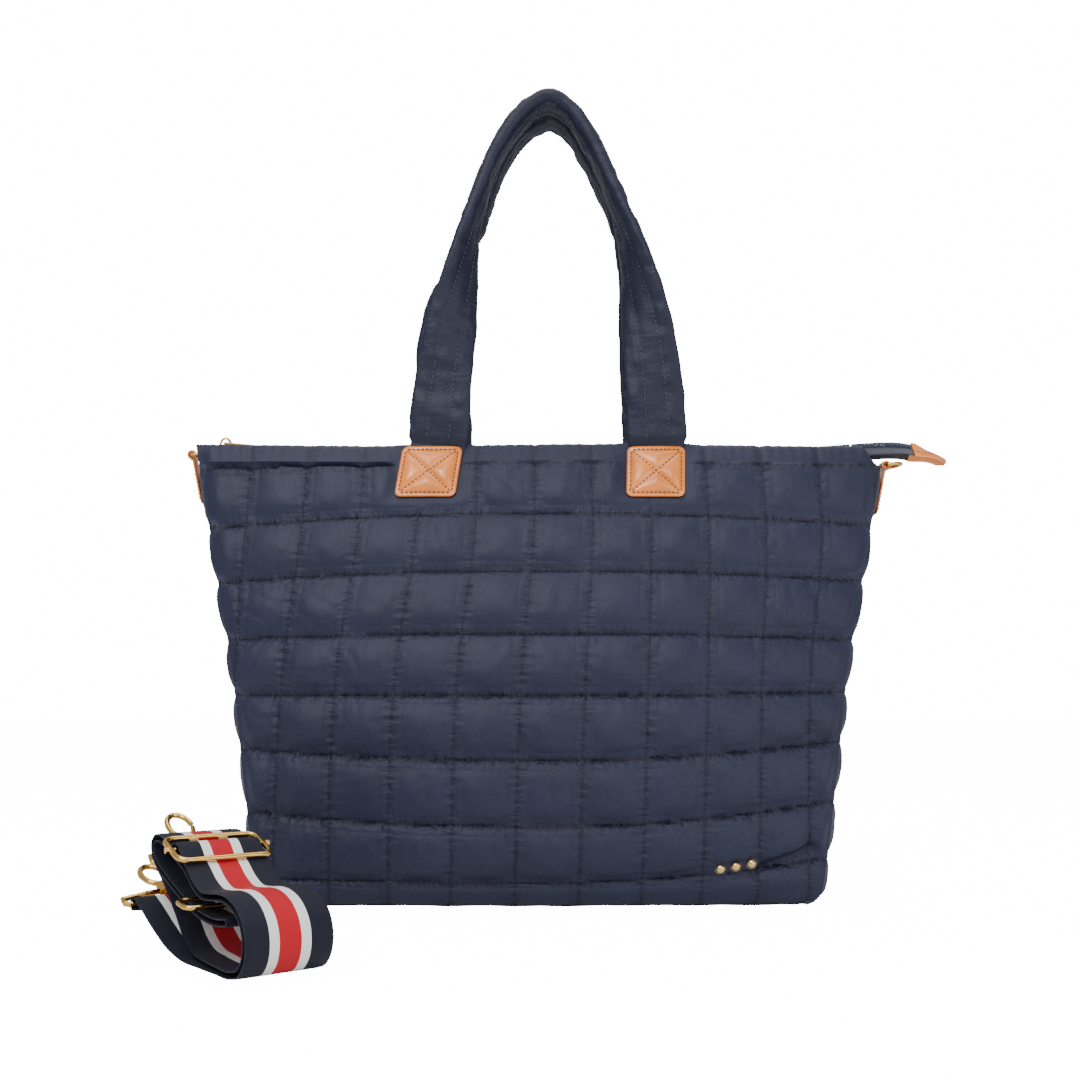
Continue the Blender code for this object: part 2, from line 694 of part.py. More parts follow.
def handle_frames(side):
    """Centre, width direction, thickness direction and shares of the arc along one handle."""
    line = smooth_line(HANDLE_LINE, HANDLE_STEPS)
    frames = []
    for i, (x, z) in enumerate(line):
        share = i / HANDLE_STEPS
        rise = 1 - abs(2 * share - 1)
        before, after = line[max(i - 1, 0)], line[min(i + 1, HANDLE_STEPS)]
        tangent = Vector((after[0] - before[0], 0.0, after[1] - before[1])).normalized()
        lean = HANDLE_FOOT_Y + (HANDLE_CROWN_Y - HANDLE_FOOT_Y) * smooth_step(rise, 0.0, 0.9)
        if side > 0:
            bow = smooth_step(share, 0.0, BACK_BOW[0]) * (1 - smooth_step(share, *BACK_BOW))
            x -= BACK_HANDLE_SPREAD * bow
        in_plane = Vector((tangent.z, 0.0, -tangent.x))
        turn = 0.5 * math.pi * smooth_step(rise, *HANDLE_TWIST)
        depth = Vector((0.0, -side, 0.0))
        width_way = in_plane * math.cos(turn) + depth * math.sin(turn)
        thick_way = tangent.cross(width_way)
        frames.append((Vector((x, side * lean, z)), width_way, thick_way, smooth_step(rise, 0.0, 0.8)))
    return frames


def handle_section(frame, inset, sides=12):
    """A soft-cornered flat section, smaller by the inset all round."""
    centre, width_way, thick_way, share = frame
    half_width = 0.5 * (HANDLE_WIDTH[0] + (HANDLE_WIDTH[1] - HANDLE_WIDTH[0]) * share) - inset
    span = HANDLE_THICKNESS[1] - HANDLE_THICKNESS[0]
    half_thickness = 0.5 * (HANDLE_THICKNESS[0] + span * share) - inset
    ring = []
    for k in range(sides):
        angle = 2 * math.pi * (k + 0.5) / sides
        across = math.copysign(abs(math.cos(angle)) ** 0.6, math.cos(angle))
        through = math.copysign(abs(math.sin(angle)) ** 0.8, math.sin(angle))
        ring.append(centre + width_way * half_width * across + thick_way * half_thickness * through)
    return ring


def make_handles():
    for side, name in ((-1, "front"), (1, "back")):
        frames = handle_frames(side)
        pivot = (0.0, side * HANDLE_FOOT_Y, HANDLE_PIVOT_Z)
        outer = [handle_section(frame, 0.0) for frame in frames]
        inner = [handle_section(frame, SLEEVE) for frame in frames]
        sleeve = loft(outer + inner[::-1], closed=True)
        add_object(f"{name}_handle_sleeve", sleeve, "quilted_nylon", pivot)
        core = [handle_section(frame, SLEEVE + 2 * GAP) for frame in frames[1:-1]]
        add_object(f"{name}_handle_core", loft(core[::-1]), "padding_foam", pivot)


# ---------------------------------------------------------------- shoulder strap


def strap_point(along, across, height):
    return STRAP_FOOT + STRAP_ALONG * along + STRAP_ACROSS * across + Vector((0.0, 0.0, height))


def roll_layers():
    """The roll's outer line, and the inner one that lies beside it, in metres."""
    outer = smooth_line([(s / 1000, h / 1000) for s, h in ROLL], ROLL_STEPS)
    inner = []
    for i, (s, h) in enumerate(outer):
        before, after = outer[max(i - 1, 0)], outer[min(i + 1, len(outer) - 1)]
        run = (after - before) / np.linalg.norm(after - before)
        inner.append((s - run[1] * ROLL_INSET, h + run[0] * ROLL_INSET))
    kept = [point for i, point in enumerate(inner) if i > 6 or point[0] > 0.016]
    end = [(s / 1000, h / 1000) for s, h in INNER_END]
    lead = smooth_line(end + [kept[0]], 5)
    return outer, np.array(list(lead[:-1]) + kept)


def woven(s, h):
    """Lifts the top layer over the adjuster's middle bar."""
    near = max(1 - abs(s - WEAVE_AT) / WEAVE_HALF, 0.0)
    rise = WEAVE_RISE * near * near * (3 - 2 * near)
    return h + (rise if h > 0.048 else 0.0)


def eye_curl(end, run, turn):
    """Points that wrap a webbing end round a hook's bar, and the bar's centre."""
    radius = HOOK_WIRE + STRAP_THICKNESS / 2 + CURL_SLACK
    normal = np.array([-run[1], run[0]]) * turn
    centre = end + normal * radius
    points = []
    for k in range(1, 8):
        angle = CURL_TURN * k / 7
        points.append(centre - normal * radius * math.cos(angle) + run * radius * math.sin(angle))
    return points, centre


def strap_path():
    """Points of the webbing from one hook to the other: forward, height, sideways."""
    outer, inner = roll_layers()
    first_run = (outer[0] - outer[1]) / np.linalg.norm(outer[0] - outer[1])
    last_run = (inner[0] - inner[1]) / np.linalg.norm(inner[0] - inner[1])
    first_curl, first_bar = eye_curl(outer[0], first_run, 1)
    last_curl, last_bar = eye_curl(inner[0], last_run, -1)
    fold_centre = (outer[-1] + inner[-1]) / 2
    fold = []
    spoke = outer[-1] - fold_centre
    for k in range(1, 5):
        angle = math.pi * k / 5
        turned = np.array([spoke[0] * math.cos(angle) - spoke[1] * math.sin(angle),
                           spoke[0] * math.sin(angle) + spoke[1] * math.cos(angle)])
        fold.append(fold_centre + turned)
    line = first_curl[::-1] + [np.array([s, woven(s, h)]) for s, h in outer]
    line += fold + list(inner[::-1]) + last_curl
    bars = {"a": (first_bar, first_run), "b": (last_bar, last_run)}
    (first_drift, first_share), (last_drift, last_share) = END_DRIFTS
    sideways = []
    for i in range(len(line)):
        share = i / (len(line) - 1)
        drift = first_drift * (1 - smooth_step(share, 0.0, first_share))
        sideways.append(drift + last_drift * smooth_step(share, 1 - last_share, 1.0))
    return line, sideways, bars


def make_webbing(line, sideways):
    low, high = [], []
    for i, here in enumerate(line):
        before, after = line[max(i - 1, 0)], line[min(i + 1, len(line) - 1)]
        run = (after - before) / np.linalg.norm(after - before)
        normal = np.array([-run[1], run[0]]) * STRAP_THICKNESS / 2
        for grid, point in ((low, here - normal), (high, here + normal)):
            ends = (sideways[i] - STRAP_WIDTH / 2, sideways[i] + STRAP_WIDTH / 2)
            grid.append([strap_point(point[0], t, point[1]) for t in ends])
    add_object("strap_webbing", slab(low, high), "striped_webbing", STRAP_FOOT)


def make_adjuster():
    """A rounded rectangular frame on the top layer, and the bar across its middle."""

    def place(along, across):
        level = ADJUSTER_LEVEL - ADJUSTER_SLOPE * (along - WEAVE_AT)
        return strap_point(along, across, level)

    loop = rounded_loop(*ADJUSTER_HALF, ADJUSTER_CORNER)
    points = [place(WEAVE_AT + b, a) for a, b in loop]
    add_object("adjuster_frame", tube(points, ADJUSTER_WIRE, closed=True), "gold_metal")
    reach = ADJUSTER_HALF[0] - ADJUSTER_WIRE - GAP
    bar = [place(WEAVE_AT, -reach), place(WEAVE_AT, 0.0), place(WEAVE_AT, reach)]
    add_object("adjuster_bar", tube(bar, ADJUSTER_BAR), "gold_metal")


def make_strap_ring():
    """A rectangular ring between the layers, whose left side shows beyond the webbing."""
    loop = rounded_loop(*STRAP_RING_HALF, STRAP_RING_CORNER)
    along, height = STRAP_RING_AT
    points = []
    for a, b in loop:
        points.append(strap_point(along + b, a + STRAP_RING_SHIFT, height - STRAP_RING_SLOPE * b))
    add_object("strap_ring", tube(points, STRAP_RING_WIRE, closed=True), "gold_metal")


def hook_place(bar, run, across_shift, rise):
    """Axes of one hook: its bar's centre, the way it points and the way across."""
    flat = Vector((STRAP_ALONG.x, STRAP_ALONG.y, 0.0))
    way = flat * float(run[0]) + Vector((0.0, 0.0, float(run[1])))
    side = STRAP_ACROSS
    way = (way * math.cos(rise) + side.cross(way) * math.sin(rise)).normalized()
    centre = strap_point(float(bar[0]), across_shift, float(bar[1]))
    return centre, way, side, way.cross(side).normalized()


def make_hook(name, bar, run, across_shift):
    centre, way, side, up = hook_place(bar, run, across_shift, HOOK_RISES[name])

    def at(out, across, high=0.0):
        return centre + way * out + side * across + up * high

    half = HOOK_EYE_HALF
    eye = [(0.0, 0.0), (0.0, half - 0.002), (0.0015, half), (0.0072, half)]
    eye += [(EYE_DEPTH - 0.001, 0.012), (EYE_DEPTH, 0.006), (EYE_DEPTH, 0.0)]
    mirrored = [(out, -across) for out, across in eye[1:-1]]
    loop = eye + mirrored[::-1]
    wire = tube([at(*place) for place in loop], HOOK_WIRE, closed=True)
    frame = add_object(f"hook_{name}_eye", wire, "gold_metal")
    boss = tube([at(out, 0.0) for out in HOOK_BOSS], HOOK_BOSS_RADIUS, 14)
    boss = add_object(f"hook_{name}_boss", boss, "gold_metal")
    drill = (HOOK_BOSS[0] - HOOK_STEM, HOOK_BOSS[1] + HOOK_STEM)
    hole = tube([at(out, 0.0) for out in drill], HOOK_STEM + GAP, 14)
    hole = add_object(f"hook_{name}_hole", hole, "gold_metal")
    for cutter, operation in ((boss, "UNION"), (hole, "DIFFERENCE")):
        step = frame.modifiers.new(operation.title(), "BOOLEAN")
        step.operation = operation
        step.object = cutter
        cutter.hide_render = True
        cutter.display_type = "WIRE"

    # Claw: a head under the boss, a stem through it, then the open hook, which leaves
    # the stem on one side and comes back to just short of the gate
    head_length, head_radius = CLAW_HEAD
    collar = HOOK_BOSS[1] + GAP
    turned = [(HOOK_BOSS[0] - head_length, head_radius), (HOOK_BOSS[0] - GAP, head_radius)]
    turned += [(HOOK_BOSS[0] - GAP, HOOK_STEM), (collar, HOOK_STEM)]
    turned += [(collar, CLAW_COLLAR), (collar + 0.004, CLAW_COLLAR), (collar + 0.006, CLAW_NECK)]
    turns = [2 * math.pi * k / 12 for k in range(12)]
    rings = []
    for out, radius in turned:
        rings.append([at(out, radius * math.cos(a), radius * math.sin(a)) for a in turns])
    half_length, half_width = CLAW_SIZE
    middle = collar + 0.0065 + half_length
    for k in range(15):
        angle = CLAW_SWEEP[0] + (CLAW_SWEEP[1] - CLAW_SWEEP[0]) * k / 14
        here = at(middle + half_length * math.cos(angle), half_width * math.sin(angle))
        ahead = Vector((-half_length * math.sin(angle), half_width * math.cos(angle))).normalized()
        beside = (way * ahead.x + side * ahead.y).cross(up)
        rings.append([here + (up * math.sin(a) - beside * math.cos(a)) * HOOK_WIRE for a in turns])
    add_object(f"hook_{name}_claw", loft(rings), "gold_metal", at(collar, 0.0))

    # Gate: closes the claw's open side, hinged at its foot
    gate = []
    for k in range(7):
        angle = GATE_SWEEP[0] + (GATE_SWEEP[1] - GATE_SWEEP[0]) * k / 6
        gate.append(at(middle + half_length * math.cos(angle), half_width * math.sin(angle)))
    add_object(f"hook_{name}_gate", tube(gate, GATE_WIRE), "gold_metal", gate[0])


def make_strap():
    line, sideways, bars = strap_path()
    make_webbing(line, sideways)
    make_adjuster()
    make_strap_ring()
    for name, shift in (("a", sideways[0]), ("b", sideways[-1])):
        bar, run = bars[name]
        make_hook(name, bar, run, shift)


def main():
    clear_scene()
    make_base()
    make_walls()
    make_gussets()
    make_patches()
    make_studs()
    make_ring_tabs()
    make_rings()
    make_zip()
    make_slider()
    make_pull()
    make_tail()
    make_handles()
    make_strap()


main()
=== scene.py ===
"""Looks of the quilted travel tote: quilted nylon, leather, gold hardware and a striped shoulder strap."""

import math

import bmesh
import bpy
import numpy as np
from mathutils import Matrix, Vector


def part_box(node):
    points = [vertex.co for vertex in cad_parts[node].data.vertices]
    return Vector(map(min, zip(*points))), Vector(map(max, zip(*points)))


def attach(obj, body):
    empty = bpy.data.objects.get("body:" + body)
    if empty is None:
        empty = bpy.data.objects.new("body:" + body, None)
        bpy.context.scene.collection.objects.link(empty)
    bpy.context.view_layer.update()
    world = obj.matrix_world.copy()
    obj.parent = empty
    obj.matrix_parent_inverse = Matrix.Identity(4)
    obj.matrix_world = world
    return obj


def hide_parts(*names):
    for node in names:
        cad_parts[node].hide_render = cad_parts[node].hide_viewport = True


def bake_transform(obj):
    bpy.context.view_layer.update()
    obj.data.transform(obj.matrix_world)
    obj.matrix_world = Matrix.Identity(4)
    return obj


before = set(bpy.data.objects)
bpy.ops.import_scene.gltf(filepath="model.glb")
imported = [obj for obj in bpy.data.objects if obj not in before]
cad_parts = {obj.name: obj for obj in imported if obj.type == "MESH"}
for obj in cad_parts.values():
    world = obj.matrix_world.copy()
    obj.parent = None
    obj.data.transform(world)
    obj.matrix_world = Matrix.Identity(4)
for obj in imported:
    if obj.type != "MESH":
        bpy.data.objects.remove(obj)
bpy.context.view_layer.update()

# ---------------------------------------------------------------- sizes, from the frame

BAG_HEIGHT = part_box("back_panel")[1][2]
RIM_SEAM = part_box("back_panel")[1][0]
HEIGHTS = (0.0, 0.03, 0.10, 0.17, 0.25, 0.30, BAG_HEIGHT)
HALF_WIDTHS = (0.206, 0.212, 0.2205, 0.230, 0.245, 0.2525, 0.2585)
WALL_DEPTHS = (0.066, 0.076, 0.080, 0.074, 0.052, 0.034, 0.020)
SEAM_DEPTHS = (0.060, 0.062, 0.060, 0.052, 0.036, 0.025, 0.0178)
GUSSET_BULGES = (0.008, 0.010, 0.010, 0.010, 0.008, 0.005, 0.003)
BASE_CORNER = 0.014
WALL_FULLNESS = 2.5
RIGHT_CORNER_DROP = 0.016
PANEL = 0.006
WALL_FOOT = 0.0018
FOOT_ROLL = 0.013
INNER_FOOT = 0.0066
LINING_FOOT = 0.0105
LINING_THICKNESS = 0.0007
WALLS = ((-1, "front", "front_wall"), (1, "back", "bag"))
ENDS = ((-1, "left"), (1, "right"))

# Quilting: height of each row's seam at the middle, and how far its ends stray on the left and right
ROWS = (
    (0.0185, 0.0016, 0.0165), (0.0587, 0.0093, 0.0171), (0.1048, 0.0077, 0.0134),
    (0.1504, 0.0010, 0.0030), (0.1943, -0.0035, -0.0035), (0.2403, -0.0080, -0.0066),
    (0.2834, -0.0105, -0.0080), (0.3204, -0.0044, 0.0),
)
ROW_PITCH = 0.0445
COLUMN_HEIGHTS = (0.0, 0.17, 0.27, 0.34)
COLUMN_PITCHES = (0.0448, 0.0447, 0.0423, 0.0417)
COLUMN_STARTS = (-0.0180, -0.0125, -0.0047, -0.0042)
COLUMN_SQUEEZES = (0.075, 0.085, 0.01, 0.0)
PUFF = 0.0084
SEAM_SINK = 0.0020
SEAM_CUT = 0.0010
RISE_REACH, FALL_REACH, SIDE_REACH = 0.0115, 0.0062, 0.0068
LADDER_DEPTH, LADDER_PITCH = 0.00085, 0.0068
COMB_DEPTH, COMB_PITCH = 0.00060, 0.0088
CREASE_DEPTH = 0.00075
HEM_STEP, HEM_FULLNESS = 0.0003, 0.0033
SAG = 0.62
STUD_CREASE = ((0.1500, 0.0275), (0.1900, 0.0430))

ZIP_LEVEL = 0.337
ZIP_SLOPE = 0.0104
ZIP_START = -0.2445
ZIP_END = 0.2360
ZIP_CLOTH_DROP = 0.0024
COIL_HALF = 0.0040
COIL_LEAN = 0.85
TOOTH_PITCH = 0.00150
TOOTH_PROFILE = ((-0.0006, 0.30), (-0.0001, 0.85), (0.0012, 1.0), (0.0026, 1.0), (0.0034, 0.7), (0.0038, 0.2))
PULL_SLOPE = math.tan(math.radians(5))
TAIL_HINGE_X = 0.2640
TAIL_END_X = 0.2840
TAIL_TAB_END_X = 0.3070
TAIL_RISE = 0.0030
TAIL_BEND = 6.8
TAIL_RISE_FROM = 0.195

HANDLE_LINE = (
    (-0.0750, 0.3395), (-0.0710, 0.3839), (-0.0600, 0.4540), (-0.0510, 0.5010),
    (-0.0420, 0.5303), (-0.0330, 0.5533), (-0.0200, 0.5742), (-0.0070, 0.5878),
    (0.0065, 0.5935), (0.0220, 0.5852), (0.0360, 0.5658), (0.0485, 0.5397),
    (0.0580, 0.5156), (0.0700, 0.4759), (0.0775, 0.4341), (0.0835, 0.3871),
    (0.0865, 0.3395),
)
HANDLE_FOOT_Y = 0.0262
HANDLE_CROWN_Y = 0.0138
HANDLE_WIDTH = (0.044, 0.027)
HANDLE_THICKNESS = (0.0055, 0.0125)
HANDLE_TWIST = (0.12, 0.76)
BACK_HANDLE_SPREAD = 0.015
BACK_BOW = (0.215, 0.31)
HANDLE_SEAM = 0.37
FOOT_STEPS = 12

PATCH_TOP = 0.3338
PATCH_BOTTOM = 0.2948
PATCH_THICKNESS = 0.0020
PATCH_PILLOW = 0.0034
PATCH_CORNER = 0.0045
PATCH_STITCH_INSET = 0.0028
PATCHES = {"left": (-0.0790, -0.0838, 0.0222), "right": (0.0856, 0.0839, 0.0214)}

STRAP_WIDTH = 0.050
STRAP_THICKNESS = 0.0013
STRAP_FOOT = Vector((-0.2110, -0.1740, 0.0))
STRAP_ALONG = Vector((0.6, -0.8, 0.0))
STRAP_ACROSS = Vector((0.8, 0.6, 0.0))
ROLL = (
    (-4, 28.5), (6, 23.5), (20, 15.0), (36, 6.5), (54, 1.5), (75, 0.75),
    (95, 0.75), (112, 1.2), (124, 4.5), (131.5, 12), (134, 22), (131, 31.5), (123, 39),
    (111, 43.3), (98, 44), (85, 42.5), (73, 42), (62, 45.9), (50, 53.5), (36, 58.6),
    (22, 63.3), (8, 66.9), (-1, 66.2), (-7, 60.5), (-4.5, 53), (4, 47), (20, 41),
    (40, 34.5), (60, 29), (80, 26.5), (96, 26.5), (107, 28),
)
INNER_END = ((-21, 43.5), (-14, 39.8), (-6, 35.6), (4, 29.6))
ROLL_INSET = 0.0036
WEAVE_AT = 0.036
WEAVE_HALF = 0.013
WEAVE_RISE = 0.0058
ADJUSTER_HALF = (0.0280, 0.0140)
ADJUSTER_WIRE = 0.0017
ADJUSTER_LEVEL = 0.0614
ADJUSTER_SLOPE = 0.337
HOOK_WIRE = 0.0019
RING_WIRE = 0.0013

STITCH_PROFILE = ((0.0, 0.35), (0.14, 0.85), (0.5, 1.0), (0.86, 0.85), (1.0, 0.35))
LEATHER_STITCH = (0.0027, 0.0020, 0.00034)
STITCHES_PER_CELL = 13.0

# ---------------------------------------------------------------- curves and noise


def smooth_value(knots, values, at):
    """A smooth curve through a few values, read at each place."""
    knots = np.asarray(knots, float)
    values = np.asarray(values, float)
    at = np.asarray(at, float)
    slopes = np.gradient(values, knots)
    i = np.clip(np.searchsorted(knots, at) - 1, 0, len(knots) - 2)
    span = knots[i + 1] - knots[i]
    t = np.clip((at - knots[i]) / span, 0.0, 1.0)
    start = (1 + 2 * t) * (1 - t) ** 2 * values[i] + t * (1 - t) ** 2 * span * slopes[i]
    end = t * t * (3 - 2 * t) * values[i + 1] + t * t * (t - 1) * span * slopes[i + 1]
    return start + end


def joined(*parts):
    """Arrays of coordinates joined into one array of points."""
    return np.stack(parts, axis=-1)


def running_length(line):
    return np.concatenate([[0], np.cumsum(np.linalg.norm(np.diff(line, axis=0), axis=1))])


def directions(line):
    """The unit direction of a line at each of its points."""
    run = np.gradient(line, axis=0)
    return run / np.linalg.norm(run, axis=1, keepdims=True)


def smooth_line(points, steps):
    """Evenly spaced points on a smooth curve through the given ones."""
    points = np.asarray(points, float)
    reach = running_length(points)
    fine = np.linspace(0, reach[-1], 12 * steps)
    line = joined(*(smooth_value(reach, column, fine) for column in points.T))
    run = running_length(line)
    even = np.linspace(0, run[-1], steps + 1)
    return joined(*(np.interp(even, run, column) for column in line.T))


def smooth_step(value, low, high):
    t = np.clip((np.asarray(value, float) - low) / (high - low), 0.0, 1.0)
    return t * t * (3 - 2 * t)


def fade(distance, reach, power=1):
    """1 at no distance, falling off past the reach."""
    return np.exp(-((distance / reach) ** power))


def turns(count):
    return [2 * math.pi * k / count for k in range(count)]


def hashed(i, j, seed):
    """A repeatable number from 0 to 1 for each lattice point."""
    mixed = np.sin(i * 127.1 + j * 311.7 + seed * 74.7) * 43758.5453
    return mixed - np.floor(mixed)


def wander(x, y, seed):
    """Smooth noise from -1 to 1, one bump per unit."""
    i, j = np.floor(x), np.floor(y)
    fx, fy = x - i, y - j
    fx, fy = fx * fx * (3 - 2 * fx), fy * fy * (3 - 2 * fy)
    low = hashed(i, j, seed) * (1 - fx) + hashed(i + 1, j, seed) * fx
    high = hashed(i, j + 1, seed) * (1 - fx) + hashed(i + 1, j + 1, seed) * fx
    return 2 * (low * (1 - fy) + high * fy) - 1


# ---------------------------------------------------------------- meshes


def unit_grid(columns, rows, bottom=-1):
    """Two grids of numbers: across from -1 to 1, and up from the bottom to 1."""
    across = np.tile(np.linspace(-1, 1, columns + 1), (rows + 1, 1))
    up = np.tile(np.linspace(bottom, 1, rows + 1)[:, None], (1, columns + 1))
    return across, up


def grid_faces(rows, columns, start=0, wrap=False):
    faces = []
    last = columns if wrap else columns - 1
    for r in range(rows - 1):
        for c in range(last):
            d = (c + 1) % columns
            a = start + r * columns
            b = a + columns
            faces.append((a + c, a + d, b + d, b + c))
    return faces


def make_object(name, points, faces, values=None, crease=40):
    """A mesh object with smooth shading; values are per-point numbers that its material reads."""
    mesh = bpy.data.meshes.new(name)
    mesh.from_pydata([tuple(p) for p in points], [], faces)
    work = bmesh.new()
    work.from_mesh(mesh)
    bmesh.ops.recalc_face_normals(work, faces=work.faces)
    work.to_mesh(mesh)
    work.free()
    mesh.shade_smooth()
    mesh.set_sharp_from_angle(angle=math.radians(crease))
    for key, numbers in (values or {}).items():
        layer = mesh.attributes.new(key, "FLOAT", "POINT")
        layer.data.foreach_set("value", np.asarray(numbers, np.float32).ravel())
    obj = bpy.data.objects.new(name, mesh)
    bpy.context.scene.collection.objects.link(obj)
    return obj


def closed_sheet(name, outer, inner, values=None, crease=50):
    """A closed sheet between two grids of points; values are given for the outer grid."""
    rows, columns = outer.shape[:2]
    count = rows * columns
    faces = grid_faces(rows, columns) + [f[::-1] for f in grid_faces(rows, columns, count)]
    edge = [(0, c) for c in range(columns)]
    edge += [(r, columns - 1) for r in range(1, rows)]
    edge += [(rows - 1, c) for c in range(columns - 2, -1, -1)]
    edge += [(r, 0) for r in range(rows - 2, 0, -1)]
    rim = [r * columns + c for r, c in edge]
    for a, b in zip(rim, rim[1:] + rim[:1]):
        faces.append((b, a, a + count, b + count))
    points = np.concatenate([outer.reshape(-1, 3), inner.reshape(-1, 3)])
    doubled = {key: np.tile(np.asarray(v, float).ravel(), 2) for key, v in (values or {}).items()}
    return make_object(name, points, faces, doubled, crease)


def tube_mesh(rings, closed=False, start=0):
    """Points and faces of rings skinned in order; an open tube has a cap at each end."""
    rings = np.asarray(rings, float)
    count, sides = rings.shape[:2]
    faces = grid_faces(count, sides, start, wrap=True)
    last = start + (count - 1) * sides
    if closed:
        for c in range(sides):
            d = (c + 1) % sides
            faces.append((last + c, last + d, start + d, start + c))
    else:
        faces.append(tuple(start + c for c in range(sides))[::-1])
        faces.append(tuple(last + c for c in range(sides)))
    return rings.reshape(-1, 3), faces


def grains_object(name, grains, crease):
    """Many small closed grains in one object, each given as a list of rings."""
    points, faces = [], []
    for rings in grains:
        more_points, more_faces = tube_mesh(rings, start=len(points))
        points.extend(more_points)
        faces += more_faces
    return make_object(name, points, faces, crease=crease)


def path_frames(path, closed=False):
    """Tangent and two normals at each point of a path."""
    path = [Vector(p) for p in path]
    count = len(path)
    out = []
    normal = None
    for i, here in enumerate(path):
        before = path[i - 1] if (i > 0 or closed) else here
        after = path[(i + 1) % count] if (i < count - 1 or closed) else here
        tangent = (after - before).normalized()
        if normal is None:
            normal = tangent.orthogonal().normalized()
            if closed:
                normal = (path[1] - path[0]).cross(path[count // 3] - path[0]).normalized()
        normal = (normal - tangent * normal.dot(tangent)).normalized()
        out.append((here, tangent, normal, tangent.cross(normal)))
    return out


def wire_object(name, path, radius, closed=False, flatten=1.0):
    """A round or flattened wire along a path."""
    rings = []
    for here, _, normal, across in path_frames(path, closed):
        offsets = [flatten * math.cos(a) * normal + math.sin(a) * across for a in turns(16)]
        rings.append([tuple(here + radius * offset) for offset in offsets])
    points, faces = tube_mesh(rings, closed=closed)
    return make_object(name, points, faces)


def stitches(name, path, normals, pitch, length, radius, lift=0.0):
    """A run of short thread stitches along a path, all in one object."""
    path = np.asarray(path, float)
    normals = np.asarray(normals, float)
    run = running_length(path)
    count = max(int(run[-1] / pitch), 1)
    grains = []
    for k in range(count):
        middle = run[-1] * (k + 0.5) / count
        ends = [np.clip(middle + s * length / 2, 0, run[-1]) for s in (-1, 1)]
        a, b = [np.array([np.interp(e, run, path[:, d]) for d in range(3)]) for e in ends]
        up = np.array([np.interp(middle, run, normals[:, d]) for d in range(3)])
        up /= np.linalg.norm(up)
        ahead = (b - a) / max(np.linalg.norm(b - a), 1e-9)
        side = np.cross(ahead, up)
        rings = []
        for share, swell in STITCH_PROFILE:
            arch = lift + radius * (0.9 - 1.2 * (2 * share - 1) ** 2)
            here = a + (b - a) * share + up * arch
            rings.append([here + radius * swell * (math.cos(t) * side + math.sin(t) * up) for t in turns(6)])
        grains.append(rings)
    return grains_object(name, grains, 80)


def dress(obj, surface):
    obj.data.materials.clear()
    obj.data.materials.append(surface)


def finish_piece(obj, body, nodes, surface):
    dress(obj, surface)
    if body:
        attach(obj, body)
    if nodes:
        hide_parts(*nodes)
    return obj


# ---------------------------------------------------------------- materials


